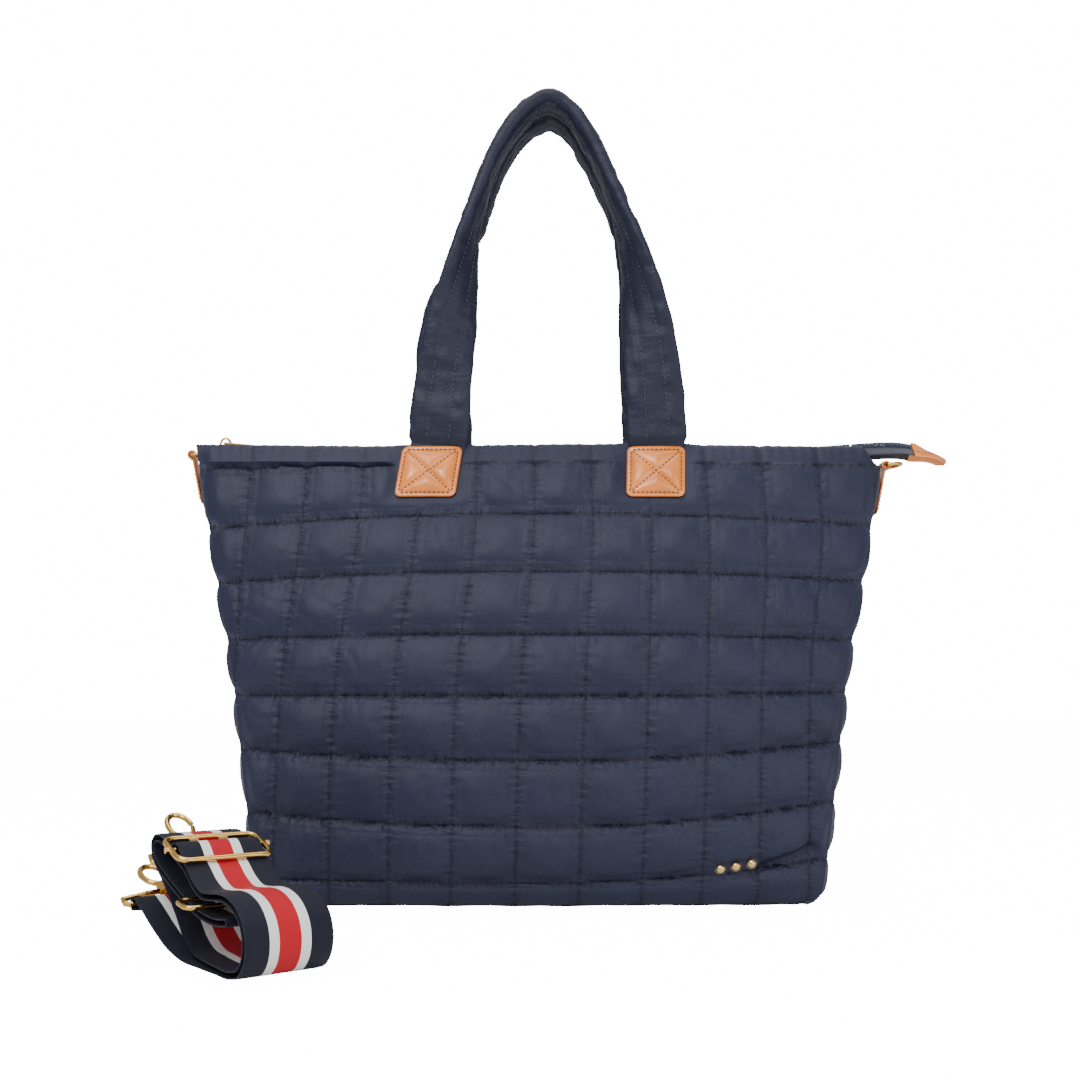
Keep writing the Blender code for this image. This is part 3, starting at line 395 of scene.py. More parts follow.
class Surface:
    """A node material built up in short steps."""

    def __init__(self, name, colour, roughness, metallic=0.0, **sockets):
        self.material = bpy.data.materials.new(name)
        self.material.use_nodes = True
        self.tree = self.material.node_tree
        self.shader = self.tree.nodes["Principled BSDF"]
        self.shader.inputs["Base Color"].default_value = (*colour, 1.0)
        self.shader.inputs["Roughness"].default_value = roughness
        self.shader.inputs["Metallic"].default_value = metallic
        for key, value in sockets.items():
            self.shader.inputs[key.replace("_", " ")].default_value = value
        self.height = None

    def node(self, kind, **inputs):
        made = self.tree.nodes.new(kind)
        for key, value in inputs.items():
            socket = made.inputs[key.replace("_", " ")]
            if isinstance(value, bpy.types.NodeSocket):
                self.tree.links.new(value, socket)
            else:
                socket.default_value = value
        return made

    def place(self, scale=(1.0, 1.0, 1.0)):
        """Coordinates in metres on the object, stretched by the scale."""
        coordinates = self.tree.nodes.new("ShaderNodeTexCoord")
        mapping = self.node("ShaderNodeMapping", Vector=coordinates.outputs["Object"])
        mapping.inputs["Scale"].default_value = scale
        return mapping.outputs["Vector"]

    def noise(self, scale, detail=3.0, stretch=(1.0, 1.0, 1.0), roughness=0.5):
        made = self.node("ShaderNodeTexNoise", Vector=self.place(stretch), Scale=scale, Detail=detail,
                         Roughness=roughness)
        return made.outputs["Fac"]

    def wave(self, scale, direction, distortion):
        made = self.node("ShaderNodeTexWave", Vector=self.place(), Scale=scale, Distortion=distortion)
        made.bands_direction = direction
        return made.outputs["Fac"]

    def weave(self, threads, distortion):
        upright = self.wave(threads, "Z", distortion)
        return self.math("MULTIPLY", upright, self.wave(threads, "X", distortion))

    def math(self, operation, a, b=0.0):
        made = self.tree.nodes.new("ShaderNodeMath")
        made.operation = operation
        for index, value in enumerate((a, b)):
            if isinstance(value, bpy.types.NodeSocket):
                self.tree.links.new(value, made.inputs[index])
            else:
                made.inputs[index].default_value = value
        return made.outputs[0]

    def attribute(self, name):
        made = self.tree.nodes.new("ShaderNodeAttribute")
        made.attribute_name = name
        return made.outputs["Fac"]

    def ramp(self, value, stops, sharp=False):
        made = self.node("ShaderNodeValToRGB", Fac=value)
        made.color_ramp.interpolation = "CONSTANT" if sharp else "LINEAR"
        elements = made.color_ramp.elements
        while len(elements) > len(stops):
            elements.remove(elements[-1])
        while len(elements) < len(stops):
            elements.new(1.0)
        for element, (position, colour) in zip(elements, stops):
            element.position = position
            element.color = (*colour, 1.0)
        return made.outputs["Color"]

    def colour(self, socket):
        self.tree.links.new(socket, self.shader.inputs["Base Color"])

    def tinted(self, socket, factor):
        """The base colour as a colour times a factor."""
        made = self.tree.nodes.new("ShaderNodeVectorMath")
        made.operation = "MULTIPLY"
        self.tree.links.new(socket, made.inputs[0])
        self.tree.links.new(factor, made.inputs[1])
        self.colour(made.outputs["Vector"])

    def carry(self, value, low, high, source=(0.0, 1.0)):
        """A value's range of numbers carried over to another range."""
        made = self.node("ShaderNodeMapRange", Value=value, From_Min=source[0], From_Max=source[1],
                         To_Min=low, To_Max=high)
        return made.outputs["Result"]

    def roughness(self, value, low, high):
        self.tree.links.new(self.carry(value, low, high), self.shader.inputs["Roughness"])

    def bump(self, value, strength, distance):
        """Adds one more layer of relief under the ones already there."""
        made = self.node("ShaderNodeBump", Height=value, Strength=strength, Distance=distance)
        if self.height is not None:
            self.tree.links.new(self.height, made.inputs["Normal"])
        self.height = made.outputs["Normal"]
        self.tree.links.new(self.height, self.shader.inputs["Normal"])


def shade(colour, share):
    return tuple(channel * share for channel in colour)


def stitches_and_seam_shade(s, at, along):
    """Dark stitches and painted shade in the crease they sit in, where a seam's place is a whole number."""
    away = s.math("PINGPONG", at, 0.5)
    # Painted shade: the colour darkens in a band either side of the seam, and the beat breaks it into dashes
    # for the dark stitches
    crease = s.carry(away, 1.0, 0.0, (0.006, 0.050))
    beat = s.math("SINE", s.math("MULTIPLY", along, 2 * math.pi * STITCHES_PER_CELL))
    return away, s.math("MULTIPLY", crease, s.carry(beat, 0.55, 1.0, (-0.5, 0.5)))


def nylon(name, colour, gloss=0.48, quilted=False):
    """Calendered nylon: a fine plain weave, slubs along both threads and a soft shine."""
    s = Surface(name, colour, gloss, Sheen_Weight=0.02, Sheen_Roughness=0.5, Specular_IOR_Level=0.34)
    slub = s.math("MULTIPLY", s.noise(70, 2, (1, 1, 14)), s.noise(70, 2, (14, 14, 1)))
    cloud = s.noise(22, 3)
    mixed = s.math("ADD", s.math("MULTIPLY", slub, 1.2), s.math("MULTIPLY", cloud, 0.7))
    tone = s.ramp(mixed, ((0.36, shade(colour, 0.80)), (0.62, colour), (0.90, shade(colour, 1.2))))
    s.roughness(slub, gloss - 0.05, gloss + 0.16)
    s.bump(s.weave(620, 0.6), 0.20, 0.0002)
    s.bump(s.noise(420, 3, (1, 1, 0.4)), 0.20, 0.0005)
    s.bump(s.noise(120, 3), 0.30, 0.0012)
    if not quilted:
        s.bump(s.noise(230, 3, (0.30, 0.30, 1)), 0.45, 0.0016)
        s.colour(tone)
        return s.material
    row, column = s.attribute("row"), s.attribute("column")
    below, free = s.attribute("below_hem"), s.attribute("free")
    from_column, ladder = stitches_and_seam_shade(s, column, row)
    from_row, comb = stitches_and_seam_shade(s, row, column)
    # Dark stitch dashes and painted shade along the quilting seams: the colour darkens to 0.38 in the seam
    # creases
    seam_shade_and_stitches = s.math("MAXIMUM", s.math("MULTIPLY", ladder, 0.85), s.math("MULTIPLY", comb, below))
    seam_shade_and_stitches = s.math("MULTIPLY", seam_shade_and_stitches, free)
    s.tinted(tone, s.carry(seam_shade_and_stitches, 1.0, 0.38))
    for away, reach, stretch in ((from_column, 0.17, (0.22, 0.22, 1)), (from_row, 0.14, (1, 1, 0.22))):
        pucker = s.math("MULTIPLY", s.noise(270, 2, stretch), s.carry(away, 1.0, 0.0, (0.0, reach)))
        s.bump(s.math("MULTIPLY", pucker, below), 0.85, 0.0034)
    return s.material


def cloth(name, colour, roughness=0.8, threads=700):
    s = Surface(name, colour, roughness, Sheen_Weight=0.25, Sheen_Roughness=0.6)
    cloud = s.noise(90, 4)
    s.colour(s.ramp(cloud, ((0.3, shade(colour, 0.8)), (0.7, shade(colour, 1.2)))))
    s.bump(s.weave(threads, 0.8), 0.5, 0.0003)
    s.bump(cloud, 0.3, 0.0008)
    return s.material


def leather(name, colour):
    """Smooth tan leather: fine pores, a waxy sheen and darker pull-up in places."""
    s = Surface(name, colour, 0.34, Specular_IOR_Level=0.55, Coat_Weight=0.80, Coat_Roughness=0.12)
    cloud = s.noise(60, 4)
    s.colour(s.ramp(cloud, ((0.30, shade(colour, 0.82)), (0.52, colour), (0.75, shade(colour, 1.12)))))
    s.roughness(s.noise(260, 3), 0.26, 0.44)
    grain = s.node("ShaderNodeTexVoronoi", Vector=s.place(), Scale=1500.0)
    s.bump(grain.outputs["Distance"], 0.25, 0.0002)
    s.bump(s.noise(500, 3), 0.25, 0.0003)
    return s.material


def metal(name, colour, roughness=0.16):
    s = Surface(name, colour, roughness, 1.0)
    haze = s.noise(300, 3)
    s.colour(s.ramp(haze, ((0.3, shade(colour, 0.94)), (0.7, colour))))
    s.roughness(haze, roughness - 0.05, roughness + 0.08)
    s.bump(s.noise(900, 2), 0.05, 0.0002)
    return s.material


def thread(name, colour):
    s = Surface(name, colour, 0.6, Sheen_Weight=0.3)
    twist = s.wave(900, "DIAGONAL", 0.3)
    s.colour(s.ramp(twist, ((0.2, shade(colour, 0.75)), (0.8, shade(colour, 1.15)))))
    s.bump(twist, 0.4, 0.0002)
    return s.material


def plastic(name, colour, roughness=0.4):
    s = Surface(name, colour, roughness)
    fine = s.noise(800, 2)
    s.colour(s.ramp(fine, ((0.3, shade(colour, 0.9)), (0.7, shade(colour, 1.1)))))
    s.bump(fine, 0.1, 0.0002)
    return s.material


def webbing(name, navy, white, red):
    """Ribbed webbing whose stripes follow the strap's own width."""
    s = Surface(name, navy, 0.60, Sheen_Weight=0.03, Sheen_Roughness=0.5, Specular_IOR_Level=0.30)
    across = s.attribute("across")
    along = s.attribute("along")
    edges = (0.0, 0.265, 0.375, 0.625, 0.735)
    stripes = s.ramp(across, tuple(zip(edges, (navy, white, red, white, navy))), sharp=True)
    ribs = s.math("SINE", s.math("MULTIPLY", along, 2 * math.pi / 0.00085))
    threads = s.math("SINE", s.math("MULTIPLY", across, 2 * math.pi * 62))
    cell = s.math("MULTIPLY", ribs, threads)
    s.tinted(stripes, s.carry(cell, 0.86, 1.10, (-1.0, 1.0)))
    s.bump(cell, 0.35, 0.0002)
    s.bump(s.noise(350, 3), 0.15, 0.0004)
    return s.material


NAVY = (0.0146, 0.0174, 0.0458)
TAN = (1.0, 0.272, 0.020)
GOLD = (0.82, 0.50, 0.13)
QUILT = nylon("quilted_nylon_look", NAVY, quilted=True)
HANDLE_CLOTH = nylon("handle_nylon_look", shade(NAVY, 0.76), 0.46)
PAD_CLOTH = nylon("base_nylon_look", shade(NAVY, 0.9))
LINING = cloth("lining_look", (0.020, 0.024, 0.045))
TAPE_CLOTH = cloth("zip_tape_look", (0.016, 0.020, 0.042), 0.75, 1000)
LEATHER = leather("leather_look", TAN)
BRASS = metal("gold_look", GOLD)
PALE_BRASS = metal("pale_gold_look", (0.90, 0.64, 0.27), 0.20)
STITCH = thread("tan_thread_look", (0.22, 0.060, 0.016))
NAVY_STITCH = thread("navy_thread_look", (0.040, 0.050, 0.095))
COIL = plastic("zip_coil_look", (0.045, 0.056, 0.100), 0.32)
BOARD = plastic("base_board_look", (0.05, 0.05, 0.055), 0.6)
WEBBING = webbing("webbing_look", (0.0036, 0.0048, 0.0180), (0.97, 0.96, 0.94), (0.54, 0.002, 0.014))

# ---------------------------------------------------------------- shape of the bag


def gusset_bulge(z):
    return smooth_value(HEIGHTS, GUSSET_BULGES, z)


def seam_half_width(z):
    z = np.asarray(z, float)
    width = smooth_value(HEIGHTS, HALF_WIDTHS, z) - gusset_bulge(z)
    low = np.clip(BASE_CORNER - z, 0.0, BASE_CORNER)
    return width - (BASE_CORNER - np.sqrt(BASE_CORNER**2 - low**2))


def wall_depth(z):
    return smooth_value(HEIGHTS, WALL_DEPTHS, z)


def seam_depth(z):
    return smooth_value(HEIGHTS, SEAM_DEPTHS, z)


def wall_y(x, z):
    across = np.minimum(np.abs(x) / seam_half_width(z), 1.0)
    return seam_depth(z) + (wall_depth(z) - seam_depth(z)) * (1 - across**WALL_FULLNESS)


def gusset_x(y, z):
    return seam_half_width(z) + gusset_bulge(z) * (1 - (y / seam_depth(z)) ** 2)


def rim_height(across):
    return BAG_HEIGHT - RIGHT_CORNER_DROP * smooth_step(across, 0.93, 1.0)


def zip_top(x):
    return ZIP_LEVEL + ZIP_SLOPE * x


def rolled_foot(z):
    """How far the foot of a panel rolls in under the bag."""
    under = np.clip(FOOT_ROLL - z, 0.0, FOOT_ROLL)
    return FOOT_ROLL - np.sqrt(FOOT_ROLL**2 - under**2)


def normals_of(grid):
    """Unit normals of a grid of points."""
    by_row = np.gradient(grid, axis=0)
    by_column = np.gradient(grid, axis=1)
    normal = np.cross(by_column, by_row)
    return normal / np.linalg.norm(normal, axis=2, keepdims=True)


# ---------------------------------------------------------------- quilting


def row_place(across, z):
    """Which quilt row a point is in: whole numbers are seams, counted from the floor."""
    place = np.empty_like(z)
    for c in range(z.shape[1]):
        u = across[0, c]
        seams = [0.0] + [m + (left if u < 0 else right) * u * u for m, left, right in ROWS]
        seams.append(seams[-1] + ROW_PITCH)
        place[:, c] = np.interp(z[:, c], seams, range(len(seams)))
    return place


def column_place(x, z):
    """Which quilt column a point is in: whole numbers are seams, 0 near the middle."""
    steps = np.arange(-6, 7)
    place = np.empty_like(x)
    for r in range(x.shape[0]):
        height = float(z[r].mean())
        pitch = float(smooth_value(COLUMN_HEIGHTS, COLUMN_PITCHES, height))
        start = float(smooth_value(COLUMN_HEIGHTS, COLUMN_STARTS, height))
        squeeze = float(smooth_value(COLUMN_HEIGHTS, COLUMN_SQUEEZES, height))
        seams = start + pitch * steps * (1 - squeeze * (steps / 5.0) ** 2)
        place[r] = np.interp(x[r], seams, steps)
    return place


def near_line(x, z, start, end):
    """Distance of each point from a straight line on the wall."""
    run = np.array(end) - np.array(start)
    share = ((x - start[0]) * run[0] + (z - start[1]) * run[1]) / float(run @ run)
    share = np.clip(share, 0.0, 1.0)
    return np.hypot(x - start[0] - share * run[0], z - start[1] - share * run[1])


def held_down(x, z, side):
    """1 where a patch or a stud presses the quilting flat, fading to 0 around it."""
    held = np.zeros_like(x)
    for top_x, bottom_x, half in PATCHES.values():
        middle = bottom_x + (top_x - bottom_x) * (z - PATCH_BOTTOM) / (PATCH_TOP - PATCH_BOTTOM)
        beside = np.maximum(np.abs(x - middle) - half, 0.0)
        below = np.maximum(PATCH_BOTTOM - z, 0.0)
        held = np.maximum(held, 1 - smooth_step(np.hypot(beside, below), -0.001, 0.0120))
    if side < 0:
        for number in (1, 2, 3):
            low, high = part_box(f"stud_{number}")
            away = np.hypot(x - (low[0] + high[0]) / 2, z - (low[2] + high[2]) / 2)
            held = np.maximum(held, 1 - smooth_step(away, 0.0036, 0.0085))
    return held


def quilt_height(rows, columns, x, z, seed, height_share=1.0):
    """How far the quilted face stands over its seams at each point."""
    low = rows - np.floor(rows)
    to_low = low * ROW_PITCH
    to_high = (1 - low) * ROW_PITCH
    side = columns - np.floor(columns)
    to_side = np.minimum(side, 1 - side) * ROW_PITCH
    cell = hashed(np.floor(rows), np.floor(columns), seed)
    cell_b = hashed(np.floor(rows), np.floor(columns), seed + 5)
    top_row = rows >= len(ROWS) - 1
    to_row = np.minimum(to_low, to_high)
    body = 1 - fade(to_low, RISE_REACH, 1.35)
    body *= 1 - np.where(top_row, 0.25, 1.0) * fade(to_high, FALL_REACH)
    body *= 1.0 + 0.30 * (0.5 - low) * np.where(top_row, 0.4, 1.0) + 0.10 * (cell - 0.5)
    body *= 1 - 0.62 * fade(to_side, SIDE_REACH)
    height = -SEAM_SINK + PUFF * height_share * body
    height -= SEAM_CUT * fade(to_row, 0.0020, 2) * ~top_row
    # Puckers gathered by the stitching: short ones square to each seam
    drift = 2.2 * wander(x * 45, z * 45, seed + 1)
    ladder = np.sin(2 * math.pi * z / LADDER_PITCH + 3 * drift + 9 * np.round(columns))
    strength = 0.55 + 0.45 * wander(x * 30, z * 55, seed + 2)
    height += LADDER_DEPTH * ladder * strength * fade(to_side, 0.0062) * (1 - fade(to_low, 0.006))
    comb = np.sin(2 * math.pi * x / COMB_PITCH + 3 * drift + 5 * np.round(rows))
    height += COMB_DEPTH * comb * (0.5 + 0.5 * wander(x * 50, z * 20, seed + 3)) * fade(to_row, 0.0060)
    # Soft creases that cross the cells at random angles
    tilt = 0.6 * (cell - 0.5)
    crease_at = x * (26 + 8 * cell_b) + z * 60 * (0.5 + tilt) + 1.4 * wander(x * 20, z * 20, seed + 4)
    crease = np.exp(-((crease_at - np.round(crease_at)) / 0.11) ** 2)
    height -= CREASE_DEPTH * crease * body * smooth_step(wander(x * 17, z * 19, seed + 6), -0.1, 0.7)
    height += 0.00085 * wander(x * 62, z * 48, seed + 7) * body
    height += 0.00042 * wander(x * 140, z * 120, seed + 8) * body
    return height


def make_wall(side, name, body):
    """One quilted wall: an outer face with its cells, a rolled foot, and a plain inner face."""
    across, share = unit_grid(264, 184, 0)
    z = WALL_FOOT + (rim_height(across) - WALL_FOOT) * share
    x = across * seam_half_width(z)
    depth = wall_y(x, z) - rolled_foot(z) * 0.8
    base = joined(x, side * depth, z)
    outward = normals_of(base)
    outward *= np.sign(outward[:, :, 1:2] * side)
    row = row_place(across, z)
    column = column_place(x, z)
    hem = smooth_step(z, ROWS[-1][0] - 0.001, ROWS[-1][0] + 0.001)
    height = quilt_height(row, column, x, z, 11 if side < 0 else 29)
    hem_rise = (rim_height(across) - z) / (BAG_HEIGHT - ROWS[-1][0])
    hem_height = HEM_STEP + HEM_FULLNESS * np.sqrt(np.clip(hem_rise, 0.0, 1.0))
    hem_height += 0.00030 * np.sin(2 * math.pi * x / 0.0082 + 2 * wander(x * 40, z * 40, 3)) * (1 - hem_rise)
    hem_height -= 0.0012 * fade(np.abs(column - np.round(column)) * ROW_PITCH, 0.0022)
    height = height * (1 - hem) + hem_height * hem
    if side < 0:
        pull = near_line(x, z, STUD_CREASE[0], STUD_CREASE[1])
        height -= 0.0046 * fade(pull, 0.0042, 2)
    held = held_down(x, z, side)
    height = height * (1 - held) + 0.0016 * held
    ends = smooth_step(1 - np.abs(across), 0.0, 0.045)
    height = height * ends + 0.0004 * (1 - ends)
    height *= 0.5 + 0.5 * smooth_step(z, 0.004, 0.030)
    outer = base + outward * height[:, :, None]
    # The filling sags to the foot of each cell
    sag = SAG * np.maximum(height, 0.0) * (1 - hem) * (1 - held) * smooth_step(z, 0.010, 0.035)
    outer[:, :, 2] -= sag * (1 - (row - np.floor(row))) ** 0.5
    # The rim sways slowly
    outer[:, :, 2] += 0.00072 * np.sin(5.0 * across + 0.6) * smooth_step(z, 0.27, BAG_HEIGHT)
    inner = base.copy()
    inner[:, :, 1] = side * (wall_y(x, z) - PANEL)
    inner[:, :, 2] = np.maximum(z, INNER_FOOT)
    inner[-1, :, 2] -= 0.0008
    values = {"row": row, "column": column, "below_hem": (1 - hem) * (1 - held), "free": 1 - held}
    panel = closed_sheet(f"{name}_quilt", outer, inner, values)
    finish_piece(panel, body, (f"{name}_panel",), QUILT)


def make_gusset(side, name):
    """An end panel: the same quilting carried round, bulging between its seams."""
    around, share = unit_grid(60, 150, 0)
    top = 0.327 if side < 0 else 0.317
    z = WALL_FOOT + (top - WALL_FOOT) * share
    z -= 0.006 * (1 - around**2) * smooth_step(z, 0.26, top)
    y = around * (seam_depth(z) - 0.0012)
    x = gusset_x(y, z) - rolled_foot(z) * 0.35
    base = joined(side * x, y, z)
    outward = normals_of(base)
    outward *= np.sign(outward[:, :, 0:1] * side)
    bend = 1 if side < 0 else 2
    seams = [0.0] + [row[0] + row[bend] for row in ROWS]
    seams.append(seams[-1] + ROW_PITCH)
    row = np.interp(z, seams, range(len(seams)))
    column = y / 0.043 + 0.5
    height = quilt_height(row, column, y, z, 41 if side < 0 else 53, 0.58)
    height *= smooth_step(1 - np.abs(around), 0.0, 0.10)
    outer = base + outward * height[:, :, None]
    inner = base.copy()
    inner[:, :, 0] = side * (gusset_x(y, z) - PANEL)
    inner[:, :, 1] *= 0.985
    inner[:, :, 2] = np.maximum(z, INNER_FOOT)
    values = {"row": row, "column": column, "below_hem": np.ones_like(row), "free": np.ones_like(row)}
    panel = closed_sheet(f"{name}_gusset_quilt", outer, inner, values)
    finish_piece(panel, None, (f"{name}_gusset",), QUILT)
    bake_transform(panel)


def make_base():
    """The padded underside, tucked in behind the rolled feet of the walls."""
    foot, clear, puff, cell = 0.0063, 0.0001, 0.0007, 0.043
    u, v = unit_grid(90, 34)
    x = u * (float(seam_half_width(foot)) - 0.001)
    y = v * (wall_y(x, foot) - 0.0065)
    tuck = smooth_step(np.maximum(np.abs(u), np.abs(v)), 0.93, 1.0)
    dimple = puff * np.abs(np.sin(math.pi * x / cell)) * np.abs(np.sin(math.pi * y / cell))
    z = clear + 0.0008 * (0.5 + 0.5 * wander(x * 30, y * 30, 4)) - dimple + puff + 0.0022 * tuck
    bottom = joined(x, y, np.maximum(z, clear))
    top = joined(x * 0.995, y * 0.99, np.full_like(x, 0.0060))
    pad = closed_sheet("base_quilt", bottom, top)
    finish_piece(pad, "bag", ("base_panel",), PAD_CLOTH)


def make_linings():
    """Thin sheets inside each panel, slightly slack."""
    for side, name, body in WALLS:
        u, v = unit_grid(80, 60, 0)
        z = LINING_FOOT + (rim_height(u) - 0.004 - LINING_FOOT) * v
        x = u * (seam_half_width(z) - 0.0078)
        slack = 0.0014 * wander(x * 18, z * 14, 6 + side) * smooth_step(1 - np.abs(u), 0, 0.1)
        depth = wall_y(x, z) - PANEL - 0.0012 - np.maximum(slack, -0.0006) - 0.0006
        outer = joined(x, side * depth, z)
        inner = joined(x, side * (depth - LINING_THICKNESS), z)
        lining = closed_sheet(f"{name}_lining_cloth", outer, inner)
        finish_piece(lining, body, (f"{name}_lining",), LINING)
    for side, name in ENDS:
        u, v = unit_grid(30, 60, 0)
        top = 0.320 if side < 0 else 0.310
        z = LINING_FOOT + (top - LINING_FOOT) * v
        y = u * (seam_depth(z) - PANEL - 0.0030)
        x = gusset_x(y, z) - PANEL - 0.0014 - 0.0006 * wander(y * 30, z * 20, 8 + side)
        outer = joined(side * x, y, z)
        inner = joined(side * (x - LINING_THICKNESS), y, z)
        lining = closed_sheet(f"{name}_end_lining_cloth", outer, inner)
        finish_piece(lining, None, (f"{name}_gusset_lining",), LINING)
        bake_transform(lining)
    u, v = unit_grid(80, 30)
    x = u * 0.187
    y = v * (wall_y(x, 0.009) - 0.0105)
    z = 0.0089 + 0.0003 * wander(x * 25, y * 25, 9)
    top = joined(x, y, z + LINING_THICKNESS)
    bottom = joined(x, y, z)
    floor_cloth = closed_sheet("base_lining_cloth", top, bottom)
    finish_piece(floor_cloth, "bag", ("base_lining",), LINING)
    dress(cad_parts["base_board"], BOARD)


# ---------------------------------------------------------------- leather patches and studs


def rounded_grid(half_x, half_z, corner, columns, rows):
    """A grid that fills a rectangle with round corners; also each point's distance from its edge."""
    u, v = unit_grid(columns, rows)
    x, z = u * half_x, v * half_z
    over_x = np.maximum(np.abs(x) - (half_x - corner), 0.0)
    over_z = np.maximum(np.abs(z) - (half_z - corner), 0.0)
    both = (over_x > 0) & (over_z > 0)
    length = np.hypot(over_x, over_z)
    scale = np.where(both, np.maximum(over_x, over_z) / np.maximum(length, 1e-9), 1.0)
    x = np.sign(x) * (np.abs(x) - over_x + over_x * scale)
    z = np.sign(z) * (np.abs(z) - over_z + over_z * scale)
    straight = np.minimum(half_x - np.abs(x), half_z - np.abs(z))
    past_x = np.maximum(np.abs(x) - half_x + corner, 0)
    past_z = np.maximum(np.abs(z) - half_z + corner, 0)
    edge = np.where(both, corner - np.hypot(past_x, past_z), straight)
    return x, z, np.maximum(edge, 0.0)


def make_patch(side, wall, body, name):
    """A leather square over a handle's foot, puffed into four by its crossed stitching."""
    top_x, bottom_x, half = PATCHES[name]
    half_z = 0.5 * (PATCH_TOP - PATCH_BOTTOM)
    middle_z = 0.5 * (PATCH_TOP + PATCH_BOTTOM)
    a, b, edge = rounded_grid(half, half_z, PATCH_CORNER, 56, 50)
    lean = (top_x - bottom_x) / (2 * half_z)

    def place(a, b, lift):
        x = 0.5 * (top_x + bottom_x) + a + lean * b
        z = middle_z + b
        # The patch lies over the handle's foot, so it stands off the wall a little
        over_foot = fade(a, half * 0.86, 6) * smooth_step(b, -half_z, -0.3 * half_z)
        stand = wall_y(x, z) + 0.0034 + 0.0024 * over_foot
        return joined(x, side * (stand + lift), z)

    cross = np.abs(np.abs(a / half) - np.abs(b / half_z)) * half / math.sqrt(2)
    pillow = PATCH_PILLOW * (1 - fade(cross, 0.0040)) * (1 - fade(np.maximum(edge - 0.0030, 0), 0.0034))
    stitched_edge = -0.0005 * fade(edge - 0.0026, 0.0008, 2)
    rounding = -0.0009 * fade(edge, 0.0006)
    grain = 0.0001 * wander(a * 200, b * 200, 5)
    outer = place(a, b, PATCH_THICKNESS / 2 + pillow + stitched_edge + rounding + grain)
    inner = place(a * 0.995, b * 0.995, -PATCH_THICKNESS / 2)
    patch = closed_sheet(f"{wall}_leather_{name}", outer, inner, crease=60)
    finish_piece(patch, body, (f"{wall}_patch_{name}",), LEATHER)

    # Stitching round the edge and from corner to corner
    loop_a, loop_b = half - PATCH_STITCH_INSET, half_z - PATCH_STITCH_INSET
    corners = [(-loop_a, -loop_b), (loop_a, -loop_b), (loop_a, loop_b), (-loop_a, loop_b)]
    runs = list(zip(corners, corners[1:] + corners[:1])) + [corners[::2], corners[1::2]]
    for number, (start, end) in enumerate(runs):
        t = np.linspace(0.03, 0.97, 40)
        line_a = start[0] + (end[0] - start[0]) * t
        line_b = start[1] + (end[1] - start[1]) * t
        path = place(line_a, line_b, 0.0011 if number >= 4 else 0.0009)
        normals = np.tile(np.array([0.0, side, 0.35]), (40, 1))
        run = stitches(f"{wall}_{name}_stitch_{number}", path, normals, 0.0031, 0.0023, 0.00042, 0.0001)
        finish_piece(run, body, (), STITCH)


def make_studs():
    """Three domes, each with a low rim."""
    for number in (1, 2, 3):
        low, high = (Vector(corner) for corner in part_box(f"stud_{number}"))
        middle = (low + high) / 2
        radius = (high.x - low.x) / 2
        back = high.y
        rings = []
        for lift, share in ((0.0, 1.06), (0.0004, 1.12), (0.0009, 1.06), (0.0011, 0.98)):
            rings.append((back - lift, radius * share * 0.98))
        for k in range(9):
            angle = 0.5 * math.pi * k / 8.6
            rings.append((back - 0.0012 - 0.0029 * math.sin(angle), radius * 0.93 * math.cos(angle)))
        grid = []
        for y, r in rings:
            grid.append([(middle.x + r * math.cos(a), y, middle.z + r * math.sin(a)) for a in turns(32)])
        points, faces = tube_mesh(grid)
        stud = make_object(f"stud_dome_{number}", points, faces, crease=50)
        finish_piece(stud, "front_wall", (f"stud_{number}",), PALE_BRASS)


# ---------------------------------------------------------------- end tabs and D-rings


def ring_bar(name):
    """The middle of the ring's straight bar, which the leather loop goes round."""
    low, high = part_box(f"{name}_ring")
    height = (low[2] + high[2]) / 2 if name == "left" else low[2] + RING_WIRE
    return Vector((low[0] + RING_WIRE, 0.0, height))


def make_end_tabs():
    """A leather strip up each end panel, looped round the ring's bar, with two rows of stitching."""
    for side, name in ENDS:
        bar = ring_bar(name)
        loop, steps, half_width, half_thick = 0.0029, 70, 0.0070, 0.0009
        path = []
        for z in np.linspace(bar.z - 0.036, bar.z - 0.002, 10):
            path.append((float(gusset_x(0.0, z)) + 0.0035 + 0.0006 * math.sin(40 * z), z))
        path.append((abs(bar.x) - loop, bar.z))
        for k in range(1, 20):
            angle = math.pi - math.radians(285) * k / 19
            path.append((abs(bar.x) + loop * math.cos(angle), bar.z + loop * math.sin(angle)))
        line = smooth_line(path, steps)
        run = directions(line)
        taper = smooth_step(np.arange(steps + 1), 0, 5)
        across = np.linspace(-1, 1, 17)
        grids = []
        for sign in (-1, 1):
            grid = np.empty((steps + 1, 17, 3))
            for i in range(steps + 1):
                thick = half_thick * (1 - 0.35 * np.abs(across) ** 6) * (0.6 + 0.4 * taper[i])
                grid[i, :, 0] = side * (line[i, 0] - sign * run[i, 1] * thick)
                grid[i, :, 1] = across * half_width * (0.80 + 0.20 * taper[i])
                grid[i, :, 2] = line[i, 1] + sign * run[i, 0] * thick
            grids.append(grid)
        tab = closed_sheet(f"{name}_tab_leather", grids[0], grids[1])
        finish_piece(tab, "bag", (f"{name}_ring_tab",), LEATHER)
        for flank in (-1, 1):
            upright = line[3:32]
            path = [(side * (out + 0.0010), flank * 0.0050, z) for out, z in upright]
            normals = [(side, 0.0, 0.0)] * len(upright)
            run_of = stitches(f"{name}_tab_stitch_{flank + 2}", path, normals, *LEATHER_STITCH)
            finish_piece(run_of, "bag", (), STITCH)


